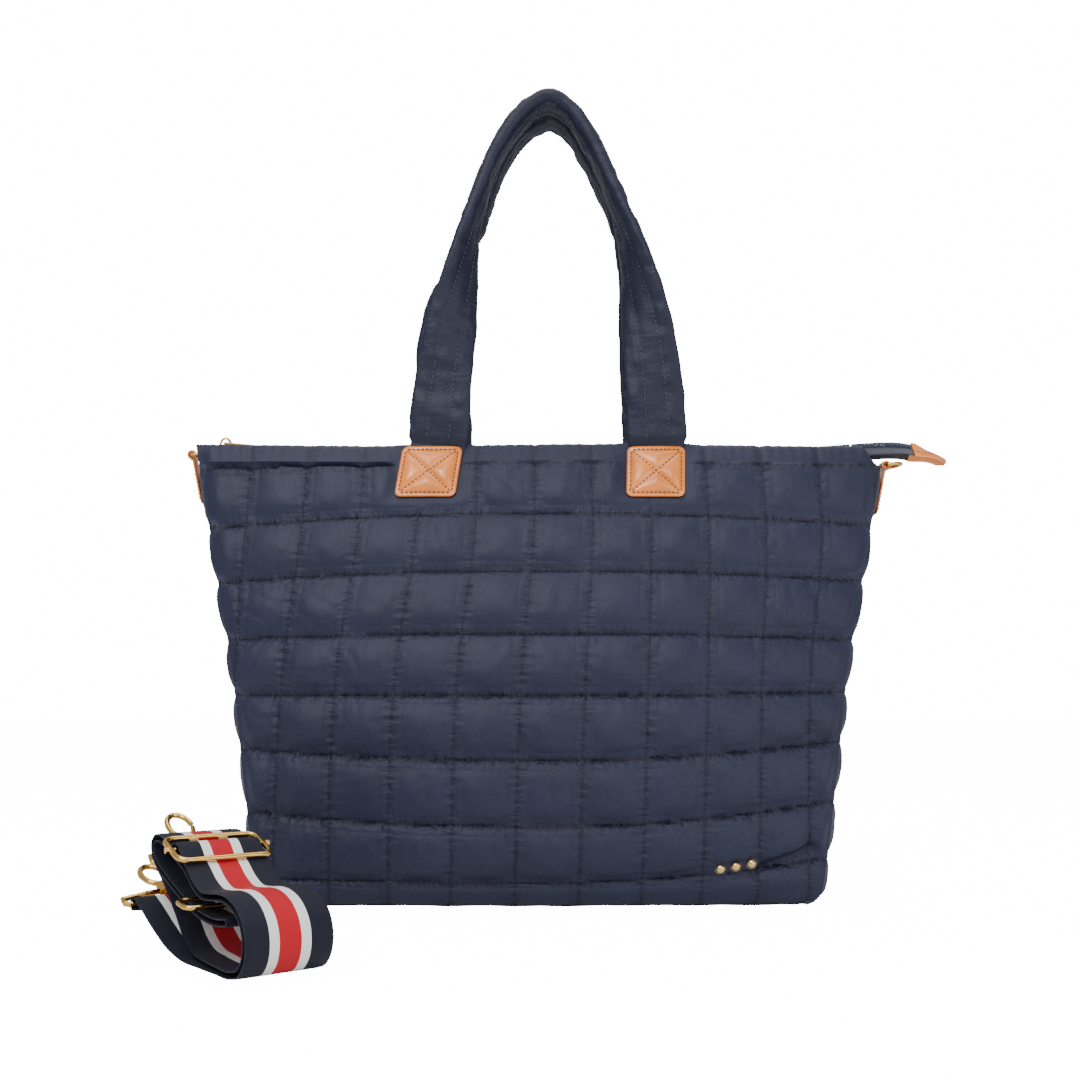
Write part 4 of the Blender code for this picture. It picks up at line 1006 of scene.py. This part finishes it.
def make_rings():
    for name, heading in (("left", 0.0), ("right", math.radians(8))):
        bar = ring_bar(name)
        flank, corner = 0.0093, 0.0025
        outline = [(0.0, y * flank) for y in (-0.7, -0.35, 0.0, 0.35, 0.7)]
        outline += [(corner * 0.12, flank * 0.90), (corner * 0.45, flank * 0.985), (corner, flank)]
        straight = 0.013 - flank
        for k in range(25):
            angle = math.pi * k / 24
            outline.append((straight + flank * math.sin(angle), flank * math.cos(angle)))
        outline += [(out, -y) for out, y in outline[7:4:-1]]
        turned = [(out * math.cos(heading), y, out * math.sin(heading)) for out, y in outline]
        ring = wire_object(f"{name}_d_ring", [bar + Vector(p) for p in turned], RING_WIRE, closed=True)
        finish_piece(ring, f"{name}_ring_body", (f"{name}_ring",), BRASS)


# ---------------------------------------------------------------- zip


def tail_sink(x):
    """The zip rises a touch over the bag's end, then bends down towards its tip."""
    along = np.maximum(x - TAIL_HINGE_X, 0.0)
    return TAIL_BEND * along**2 - TAIL_RISE * smooth_step(x, TAIL_RISE_FROM, TAIL_HINGE_X)


def zip_lean(x):
    """The zip's halves lean down from its middle towards its right end."""
    return COIL_LEAN * smooth_step(x, 0.05, 0.24)


def teeth(name, x_from, x_to, side):
    """One side of a coil zip: a rounded tooth at each turn of the coil."""
    half_width, half_height = 0.00058, 0.0013
    grains = []
    for k in range(int((x_to - x_from) / TOOTH_PITCH)):
        x = x_from + TOOTH_PITCH * (k + (0.5 if side > 0 else 0.0))
        lift = zip_top(x) - 0.0014 - tail_sink(x)
        lean = zip_lean(x)
        rings = []
        for y, swell in TOOTH_PROFILE:
            level = lift - lean * max(y, 0.0)
            ring = []
            for t in turns(8):
                up = level + half_height * swell * math.sin(t)
                ring.append((x + half_width * swell * math.cos(t), side * y, up))
            rings.append(ring)
        grains.append(rings)
    return grains_object(name, grains, 70)


def make_zip():
    """Tapes hang from the rim to the coil; the front one parts with the front wall."""
    inner_edge, outer_gap = 0.0010, 0.0066
    for side, name, body in WALLS:
        xs = np.linspace(ZIP_START, ZIP_END, 121)
        grid = np.empty((13, 121, 3))
        for r, share in enumerate(np.linspace(0, 1, 13)):
            y = inner_edge + (wall_y(xs, BAG_HEIGHT) - outer_gap - inner_edge) * share
            drape = -0.0010 * np.sin(math.pi * share) + 0.0004 * wander(xs * 30, share * 3 + 0 * xs, 12)
            level = zip_top(xs) - ZIP_CLOTH_DROP - tail_sink(xs) - zip_lean(xs) * np.minimum(y, COIL_HALF)
            rim = np.minimum(level, rim_height(xs / RIM_SEAM) - 0.0035)
            z = level + (rim - level) * smooth_step(share, 0.35, 1.0) + drape
            grid[r] = joined(xs, side * y, z)
        under = grid.copy()
        under[:, :, 2] -= 0.0007
        tape = closed_sheet(f"{name}_zip_tape_cloth", grid, under)
        chain = teeth(f"{name}_zip_coil_teeth", ZIP_START + 0.001, ZIP_END, side)
        rider = body if side > 0 else None
        finish_piece(tape, rider, (f"zip_tape_{name}",), TAPE_CLOTH)
        finish_piece(chain, rider, (f"zip_chain_{name}",), COIL)
        for piece in (tape, chain):
            if side < 0:
                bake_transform(piece)


def squared(value, power):
    """A sine or cosine bent so that a circle becomes squarer."""
    return math.copysign(abs(value) ** power, value)


def rounded_bar(name, low, high, corner=0.0004):
    """A small block with soft edges."""
    work = bmesh.new()
    bmesh.ops.create_cube(work, size=1.0)
    size = [h - l for l, h in zip(low, high)]
    middle = [(h + l) / 2 for l, h in zip(low, high)]
    bmesh.ops.scale(work, verts=work.verts, vec=size)
    bmesh.ops.bevel(work, geom=work.edges[:], offset=corner, segments=3, affect="EDGES", profile=0.6)
    bmesh.ops.translate(work, verts=work.verts, vec=middle)
    mesh = bpy.data.meshes.new(name)
    work.to_mesh(mesh)
    work.free()
    mesh.shade_smooth()
    mesh.set_sharp_from_angle(angle=math.radians(40))
    obj = bpy.data.objects.new(name, mesh)
    bpy.context.scene.collection.objects.link(obj)
    return obj


def make_slider():
    """The slider's top, its post and floor round the coil, and the bridge for the pull."""
    low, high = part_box("slider_body")
    x = 0.5 * (low[0] + high[0])
    level = zip_top(x)
    half_length, half_width, narrowing = 0.0055, 0.0048, 0.0008
    rings = []
    for lift, share in ((0.0016, 0.90), (0.0019, 1.0), (0.0026, 1.0), (0.0029, 0.88), (0.0030, 0.6)):
        ring = []
        for a in turns(40):
            out = share * squared(math.cos(a), 0.6)
            across = share * squared(math.sin(a), 0.7) * (half_width - narrowing * out)
            ring.append((x + half_length * out, across, level + lift))
        rings.append(ring)
    points, faces = tube_mesh(rings)
    top = make_object("slider_top", points, faces)
    finish_piece(top, "zip_slider", ("slider_body",), BRASS)
    # The post runs through the coil to the floor, which stays narrow to clear the tape's slope
    floor_low, floor_high = level - 0.0074, level - 0.0062
    post_low, post_high = (x - 0.002, -0.0004, floor_high), (x + 0.002, 0.0004, level + 0.0018)
    post = rounded_bar("slider_post", post_low, post_high, corner=0.0001)
    floor = rounded_bar("slider_floor", (x - 0.0054, -0.0021, floor_low), (x + 0.0054, 0.0021, floor_high))
    for piece in (post, floor):
        finish_piece(piece, "zip_slider", (), BRASS)
    arch = []
    for k in range(25):
        a = math.pi * k / 24
        arch.append((x - 0.0044 * math.cos(a), 0.0, level + 0.0028 + 0.0078 * math.sin(a)))
    crown = wire_object("slider_bridge", arch, 0.0012, flatten=0.65)
    finish_piece(crown, "zip_slider", ("slider_crown",), BRASS)


def rounded_loop(half_x, half_y, corner):
    """Points round a rectangle with round corners."""
    per_corner = 8
    points = []
    for centre_x, centre_y, start in (
        (half_x - corner, half_y - corner, 0.0),
        (corner - half_x, half_y - corner, 0.5 * math.pi),
        (corner - half_x, corner - half_y, math.pi),
        (half_x - corner, corner - half_y, 1.5 * math.pi),
    ):
        for k in range(per_corner + 1):
            angle = start + 0.5 * math.pi * k / per_corner
            points.append((centre_x + corner * math.cos(angle), centre_y + corner * math.sin(angle)))
    return points


def make_pull():
    """A flat leaf with a window, skinned round its outer edge and then its inner one."""
    low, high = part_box("pull_leaf")
    middle_z = 0.5 * (low[2] + high[2])
    half, bevel = 0.0006, 0.0002
    outer = rounded_loop((high[0] - low[0]) / 2, 0.0042, 0.0018)
    inner = rounded_loop(0.0052, 0.0029, 0.0010)
    edges = ((outer, 0.5 * (low[0] + high[0]), bevel, 1), (inner, low[0] + 0.0076, -bevel, -1))
    rings = []
    for shape, x, trim, way in edges:
        for level, shrink in ((-1, trim), (-0.5, 0.0), (0.5, 0.0), (1, trim)):
            ring = []
            for a, b in shape:
                size = math.hypot(a, b)
                along = x + a * (1 - shrink / size)
                drop = PULL_SLOPE * (along - low[0] - 0.0011)
                ring.append((along, b * (1 - shrink / size), middle_z + way * level * half - drop))
            rings.append(ring)
    points, faces = tube_mesh(rings, closed=True)
    leaf = make_object("zip_pull_leaf", points, faces, crease=35)
    finish_piece(leaf, "zip_pull", ("pull_leaf",), BRASS)


def tail_fall(y, steep):
    """How far the tail's cloth lies below its ridge: over the coil, then beside it."""
    return COIL_LEAN * np.minimum(np.abs(y), COIL_HALF) + steep * np.maximum(np.abs(y) - COIL_HALF, 0.0)


def tail_strip(x_from, x_to, thickness):
    """A tape folded down each side of the coil, wider and steeper towards its free end."""
    steps = 44
    xs = np.linspace(x_from, x_to, steps + 1)
    out = smooth_step(xs, x_from, x_to)
    across = np.linspace(-1, 1, 21)
    outer = np.empty((21, steps + 1, 3))
    for r, share in enumerate(across):
        half = 0.0086 + 0.0012 * out
        y = share * half
        z = zip_top(xs) - ZIP_CLOTH_DROP - tail_fall(y, 1.15 - 0.4 * out) - tail_sink(xs)
        z += 0.0003 * wander(xs * 90, xs * 0 + share * 2, 15)
        outer[r] = joined(xs, y, z)
    inner = outer.copy()
    inner[:, :, 2] -= thickness
    return outer, inner


def make_tail():
    """The zip runs on past the bag's end, bending at its hinge, to a leather cover."""
    cloth_strip = closed_sheet("tail_cloth", *tail_strip(ZIP_END - 0.004, TAIL_END_X, 0.0009))
    finish_piece(cloth_strip, None, ("tail_root_tape", "tail_tape"), TAPE_CLOTH)
    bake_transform(cloth_strip)
    for side, name, nodes in ((-1, "near", ("tail_root_chain", "tail_chain")), (1, "far", ())):
        coil = teeth(f"tail_teeth_{name}", ZIP_END, TAIL_END_X - 0.0015, side)
        finish_piece(coil, None, nodes, COIL)
        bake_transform(coil)
    make_tail_tab()


def make_tail_tab():
    """Leather folded over the tail's end, with its cut edge and stitching."""
    start, end = TAIL_END_X - 0.0030, TAIL_TAB_END_X
    xs = np.linspace(start, end, 31)
    across = np.linspace(-1, 1, 25)
    outer = np.empty((25, 31, 3))
    inner = np.empty((25, 31, 3))
    for r, share in enumerate(across):
        # The free end is cut to a blunt point
        cut = 0.0060 * max(abs(share) - 0.30, 0.0) / 0.70
        reach = start + (xs - start) * (1 - cut / (end - start))
        out = smooth_step(xs, start, end)
        y = share * (0.0106 - 0.0020 * out)
        fall = tail_fall(y, 0.60) * (1 - 0.45 * out)
        level = zip_top(reach) - ZIP_CLOTH_DROP - fall - tail_sink(reach)
        rounded = 0.0006 * (abs(share) ** 10)
        swell = 0.0022 * (1 - smooth_step(reach, TAIL_END_X - 0.002, TAIL_END_X + 0.010))
        outer[r] = joined(reach, y, level + 0.0014 - rounded + swell * fade(share, 0.40, 2))
        inner[r] = joined(reach, y, level - 0.0021 + rounded)
    tab = closed_sheet("tail_tab_leather", outer, inner, crease=60)
    finish_piece(tab, "zip_tail", ("tail_tab",), LEATHER)
    for number, share in enumerate((-0.80, 0.80)):
        row = int(round((share + 1) * 12))
        path = outer[row, 2:-2] + np.array([0.0, 0.0, 0.0001])
        normals = np.tile(np.array([0.0, np.sign(share) * 0.6, 1.0]), (len(path), 1))
        run = stitches(f"tail_stitch_{number}", path, normals, *LEATHER_STITCH)
        finish_piece(run, "zip_tail", (), STITCH)


# ---------------------------------------------------------------- handles


def handle_frames(side):
    """Centre line with width and thickness directions; its feet run on down under the patches."""
    steps = 190
    line = smooth_line(HANDLE_LINE, steps)
    before = np.concatenate([line[:1], line[:-1]])
    after = np.concatenate([line[1:], line[-1:]])
    tangents = after - before
    tangents /= np.linalg.norm(tangents, axis=1, keepdims=True)
    frames = []
    for i in range(steps + 1):
        share = i / steps
        rise = 1 - abs(2 * share - 1)
        lean = HANDLE_FOOT_Y + (HANDLE_CROWN_Y - HANDLE_FOOT_Y) * float(smooth_step(rise, 0.0, 0.9))
        x = line[i, 0]
        if side > 0:
            bow = smooth_step(share, 0.0, BACK_BOW[0]) * (1 - smooth_step(share, *BACK_BOW))
            x -= BACK_HANDLE_SPREAD * float(bow)
        tangent = Vector((tangents[i, 0], 0.0, tangents[i, 1]))
        in_plane = Vector((tangent.z, 0.0, -tangent.x))
        turn = 0.5 * math.pi * float(smooth_step(rise, *HANDLE_TWIST))
        width_way = in_plane * math.cos(turn) + Vector((0.0, -side, 0.0)) * math.sin(turn)
        size = float(smooth_step(rise, 0.0, 0.8))
        centre = Vector((x, side * lean, line[i, 1]))
        frames.append((centre, width_way, tangent.cross(width_way), size, 0.0))
    for end in (0, -1):
        centre, width_way, thick_way, _, _ = frames[end]
        foot = []
        patch = PATCHES["left" if end == 0 else "right"]
        foot_top, foot_low = 0.3360, 0.3080
        for z in np.linspace(foot_top, foot_low, FOOT_STEPS):
            share = (foot_top - z) / (foot_top - foot_low)
            x = centre.x + (patch[1] - centre.x) * share * 0.6
            depth = float(wall_y(x, z)) + 0.0022
            foot.append((Vector((x, side * depth, float(z))), width_way, thick_way, 0.0, 1.0))
        frames = foot[::-1] + frames if end == 0 else frames + foot
    return frames


def make_handle(side, name):
    """A padded strap, flat at its feet and turned on edge at its crown, with two seams on each face."""
    sides = 44
    rings, centre_line = [], []
    run, last = 0.0, None
    for centre, width_way, thick_way, size, foot in handle_frames(side):
        if last is not None:
            run += (centre - last).length
        last = centre
        half_width = 0.5 * (HANDLE_WIDTH[0] + (HANDLE_WIDTH[1] - HANDLE_WIDTH[0]) * size)
        half_thick = 0.5 * (HANDLE_THICKNESS[0] + (HANDLE_THICKNESS[1] - HANDLE_THICKNESS[0]) * size)
        half_width *= 1 - 0.06 * foot
        half_thick *= 1 - 0.35 * foot
        gather = 0.00050 * float(wander(run * 120, 3.0 + side, 21))
        wave = 0.0010 * float(wander(run * 42, 7.0 + side, 22))
        legs = 1 - 0.45 * size
        ring = []
        for k in range(sides):
            angle = 2 * math.pi * (k + 0.5) / sides
            c, s = math.cos(angle), math.sin(angle)
            across = squared(c, 0.62)
            through = squared(s, 0.80)
            groove = 0.0009 * fade(abs(across) - HANDLE_SEAM, 0.07, 2) * (abs(s) ** 0.5)
            edge = fade(abs(across) - 0.85, 0.25, 2)
            puff = gather * edge + wave * (1 - edge)
            slant = run + 0.004 * across
            rumple = 0.00150 * legs * float(wander(slant * 150, 1.7 * across + 9 * side + 3 * (s > 0), 23))
            rumple += 0.00030 * float(wander(slant * 420, 3.0 * across + 5 * side + 3 * (s > 0), 24))
            depth = (half_thick - groove * (1 - 0.6 * foot) + (puff + rumple) * (1 - foot)) * through
            width = half_width * across + gather * across
            ring.append(tuple(centre + width_way * width + thick_way * depth))
        rings.append(ring)
        centre_line.append((centre, width_way * half_width, thick_way, half_thick - 0.0004))
    points, faces = tube_mesh(rings)
    sleeve = make_object(f"{name}_handle_padded", points, faces, crease=80)
    nodes = (f"{name}_handle_sleeve", f"{name}_handle_core")
    finish_piece(sleeve, None, nodes, HANDLE_CLOTH)
    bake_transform(sleeve)
    above_feet = centre_line[FOOT_STEPS:-FOOT_STEPS]
    seams = [(edge, face) for face in (1, -1) for edge in (-HANDLE_SEAM, HANDLE_SEAM)]
    for row, (edge, face) in enumerate(seams):
        path, normals = [], []
        for centre, to_edge, thick_way, lift in above_feet:
            path.append(tuple(centre + to_edge * edge + thick_way * face * lift))
            normals.append(tuple(thick_way * face))
        run_of = stitches(f"{name}_handle_stitch_{row}", path, normals, 0.0038, 0.0026, 0.00030, 0.00005)
        finish_piece(run_of, None, (), NAVY_STITCH)
        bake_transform(run_of)


# ---------------------------------------------------------------- shoulder strap


def strap_point(along, across, height):
    return STRAP_FOOT + STRAP_ALONG * along + STRAP_ACROSS * across + Vector((0.0, 0.0, height))


def left_of(run):
    """The direction a quarter turn to the left of each direction in a plane."""
    return joined(-run[:, 1], run[:, 0])


def roll_layers(steps):
    """The outer turns of the roll, and the layer that runs back inside them."""
    outer = smooth_line([(s / 1000, h / 1000) for s, h in ROLL], steps)
    inner = outer + left_of(directions(outer)) * ROLL_INSET
    kept = [point for i, point in enumerate(inner) if i > steps * 0.07 or point[0] > 0.016]
    end = [(s / 1000, h / 1000) for s, h in INNER_END]
    lead = smooth_line(end + [tuple(kept[0])], max(steps // 18, 5))
    return outer, np.array(list(lead[:-1]) + kept)


def woven(point):
    """The top layer rises where it is threaded over the adjuster's bar."""
    s, h = point
    near = max(1 - abs(s - WEAVE_AT) / WEAVE_HALF, 0.0)
    rise = WEAVE_RISE * near * near * (3 - 2 * near)
    return np.array([s, h + (rise if h > 0.048 else 0.0)])


def eye_curl(line, turn):
    """The webbing's end, curled round a hook's eye."""
    end = line[0]
    run = (end - line[1]) / np.linalg.norm(end - line[1])
    radius = HOOK_WIRE + STRAP_THICKNESS / 2 + 0.0009
    normal = np.array([-run[1], run[0]]) * turn
    centre = end + normal * radius
    points = []
    for k in range(1, 16):
        angle = math.radians(250) * k / 15
        points.append(centre - normal * radius * math.cos(angle) + run * radius * math.sin(angle))
    return points


def strap_path():
    """The webbing's whole line, from one hook's eye to the other's, and its drift to the side."""
    outer, inner = roll_layers(260)
    fold_centre = (outer[-1] + inner[-1]) / 2
    spoke = outer[-1] - fold_centre
    fold = []
    for k in range(1, 10):
        angle = math.pi * k / 10
        c, s = math.cos(angle), math.sin(angle)
        fold.append(fold_centre + np.array([spoke[0] * c - spoke[1] * s, spoke[0] * s + spoke[1] * c]))
    line = eye_curl(outer, 1)[::-1] + [woven(p) for p in outer] + fold
    line += list(inner[::-1]) + eye_curl(inner, -1)
    share = np.linspace(0, 1, len(line))
    sideways = -0.012 * (1 - smooth_step(share, 0.0, 0.16)) + 0.009 * smooth_step(share, 0.86, 1.0)
    return np.array(line), sideways


def make_webbing(line, sideways):
    """The striped webbing along its line, thinner at its woven edges."""
    count = len(line)
    normal = left_of(directions(line))
    along = running_length(line)
    across = np.linspace(-1, 1, 29)
    grids = []
    for sign in (-1, 1):
        grid = np.empty((count, 29, 3))
        for c, t in enumerate(across):
            half = STRAP_THICKNESS / 2 * (1 - 0.45 * abs(t) ** 14)
            place = line + normal * half * sign
            for i in range(count):
                grid[i, c] = strap_point(place[i, 0], sideways[i] + t * STRAP_WIDTH / 2, place[i, 1])
        grids.append(grid)
    values = {
        "across": np.tile((across + 1) / 2, (count, 1)),
        "along": np.tile(along[:, None], (1, 29)),
    }
    strap = closed_sheet("shoulder_strap", grids[0], grids[1], values, crease=60)
    finish_piece(strap, "strap", ("strap_webbing",), WEBBING)


def make_adjuster():
    """The sliding frame with its middle bar, tilted with the top layer."""
    def place(along, across):
        level = ADJUSTER_LEVEL - ADJUSTER_SLOPE * (along - WEAVE_AT)
        return strap_point(along, across, level)

    loop = rounded_loop(*ADJUSTER_HALF, 0.006)
    path = []
    for a, b in zip(loop, loop[1:] + loop[:1]):
        parts = max(int(math.dist(a, b) / 0.002), 1)
        for k in range(parts):
            t = k / parts
            path.append(place(WEAVE_AT + a[1] + (b[1] - a[1]) * t, a[0] + (b[0] - a[0]) * t))
    ring = wire_object("adjuster_loop", path, ADJUSTER_WIRE, closed=True)
    finish_piece(ring, "strap", ("adjuster_frame",), BRASS)
    reach = ADJUSTER_HALF[0] + 0.0026
    bar = wire_object("adjuster_pin", [place(WEAVE_AT, t * reach) for t in np.linspace(-1, 1, 9)], 0.0013)
    finish_piece(bar, "strap", ("adjuster_bar",), BRASS)
    for side in (-1, 1):
        ends = [place(WEAVE_AT, side * (reach + s)) for s in (-0.0012, -0.0004, 0.0004, 0.0010)]
        cap = wire_object(f"adjuster_cap_{side + 2}", ends, 0.0019)
        finish_piece(cap, "strap", (), BRASS)


def make_strap_ring():
    """A rectangular ring between the roll's layers."""
    loop = rounded_loop(0.0290, 0.0080, 0.005)
    path = [strap_point(0.070 + b, a - 0.006, 0.0353 - 0.12 * b) for a, b in loop]
    ring = wire_object("strap_slot_ring", path, 0.0014, closed=True)
    finish_piece(ring, "strap", ("strap_ring",), BRASS)


def make_hooks():
    """The hooks' castings keep their design shape, with a polished finish."""
    for name in ("a", "b"):
        for node in (f"hook_{name}_eye", f"hook_{name}_claw", f"hook_{name}_gate"):
            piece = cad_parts[node]
            dress(piece, BRASS)
            piece.data.shade_smooth()
            piece.data.set_sharp_from_angle(angle=math.radians(50))


def make_strap():
    make_webbing(*strap_path())
    make_adjuster()
    make_strap_ring()
    make_hooks()


# ---------------------------------------------------------------- studio


FLOOR_GLOW = 15.0
WORLD_LIGHT = 0.50
WORLD_SEEN = 16.0


def make_camera():
    data = bpy.data.cameras.new("camera")
    data.lens = 40.0
    data.sensor_width = 36.0
    data.shift_y = 0.1444
    camera = bpy.data.objects.new("camera", data)
    camera.location = (0.0, -0.909, 0.150)
    camera.rotation_euler = (math.radians(90), 0.0, 0.0)
    bpy.context.scene.collection.objects.link(camera)
    bpy.context.scene.camera = camera


def area_light(name, location, target, size, power):
    data = bpy.data.lights.new(name, "AREA")
    data.energy = power
    data.size = size
    light = bpy.data.objects.new(name, data)
    light.location = location
    aim = Vector(target) - Vector(location)
    light.rotation_euler = aim.to_track_quat("-Z", "Y").to_euler()
    bpy.context.scene.collection.objects.link(light)


def make_studio():
    mesh = bpy.data.meshes.new("floor")
    reach = 6.0
    corners = [(-reach, -reach, 0.0), (reach, -reach, 0.0), (reach, reach, 0.0), (-reach, reach, 0.0)]
    mesh.from_pydata(corners, [], [(0, 1, 2, 3)])
    floor = bpy.data.objects.new("floor", mesh)
    bpy.context.scene.collection.objects.link(floor)
    pale = Surface("floor_look", (0.90, 0.90, 0.90), 0.9)
    seen = pale.tree.nodes.new("ShaderNodeLightPath").outputs["Is Camera Ray"]
    pale.shader.inputs["Emission Color"].default_value = (1.0, 1.0, 1.0, 1.0)
    pale.tree.links.new(pale.math("MULTIPLY", seen, FLOOR_GLOW), pale.shader.inputs["Emission Strength"])
    mesh.materials.append(pale.material)
    world = bpy.data.worlds.new("studio")
    world.use_nodes = True
    tree = world.node_tree
    background = tree.nodes["Background"]
    background.inputs["Color"].default_value = (1.0, 1.0, 1.0, 1.0)
    seen = tree.nodes.new("ShaderNodeLightPath").outputs["Is Camera Ray"]
    strength = tree.nodes.new("ShaderNodeMapRange")
    strength.inputs["To Min"].default_value = WORLD_LIGHT
    strength.inputs["To Max"].default_value = WORLD_SEEN
    tree.links.new(seen, strength.inputs["Value"])
    tree.links.new(strength.outputs["Result"], background.inputs["Strength"])
    bpy.context.scene.world = world
    area_light("key", (-0.5, -1.7, 1.9), (0.0, 0.0, 0.2), 1.8, 30)
    area_light("fill", (1.4, -1.7, 0.55), (0.0, 0.0, 0.12), 1.4, 13)
    area_light("top", (0.0, 0.3, 2.0), (0.0, 0.0, 0.2), 1.5, 16)
    area_light("highlight", (-0.45, -1.30, 1.35), (0.0, 0.0, 0.25), 0.30, 3)


def main():
    make_camera()
    make_studio()
    for side, name, body in WALLS:
        make_wall(side, name, body)
        for patch in PATCHES:
            make_patch(side, name, body, patch)
        make_handle(side, name)
    for side, name in ENDS:
        make_gusset(side, name)
    make_base()
    make_linings()
    make_studs()
    make_end_tabs()
    make_rings()
    make_zip()
    make_slider()
    make_pull()
    make_tail()
    make_strap()
    dress(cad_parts["zip_top_stop"], BRASS)


main()
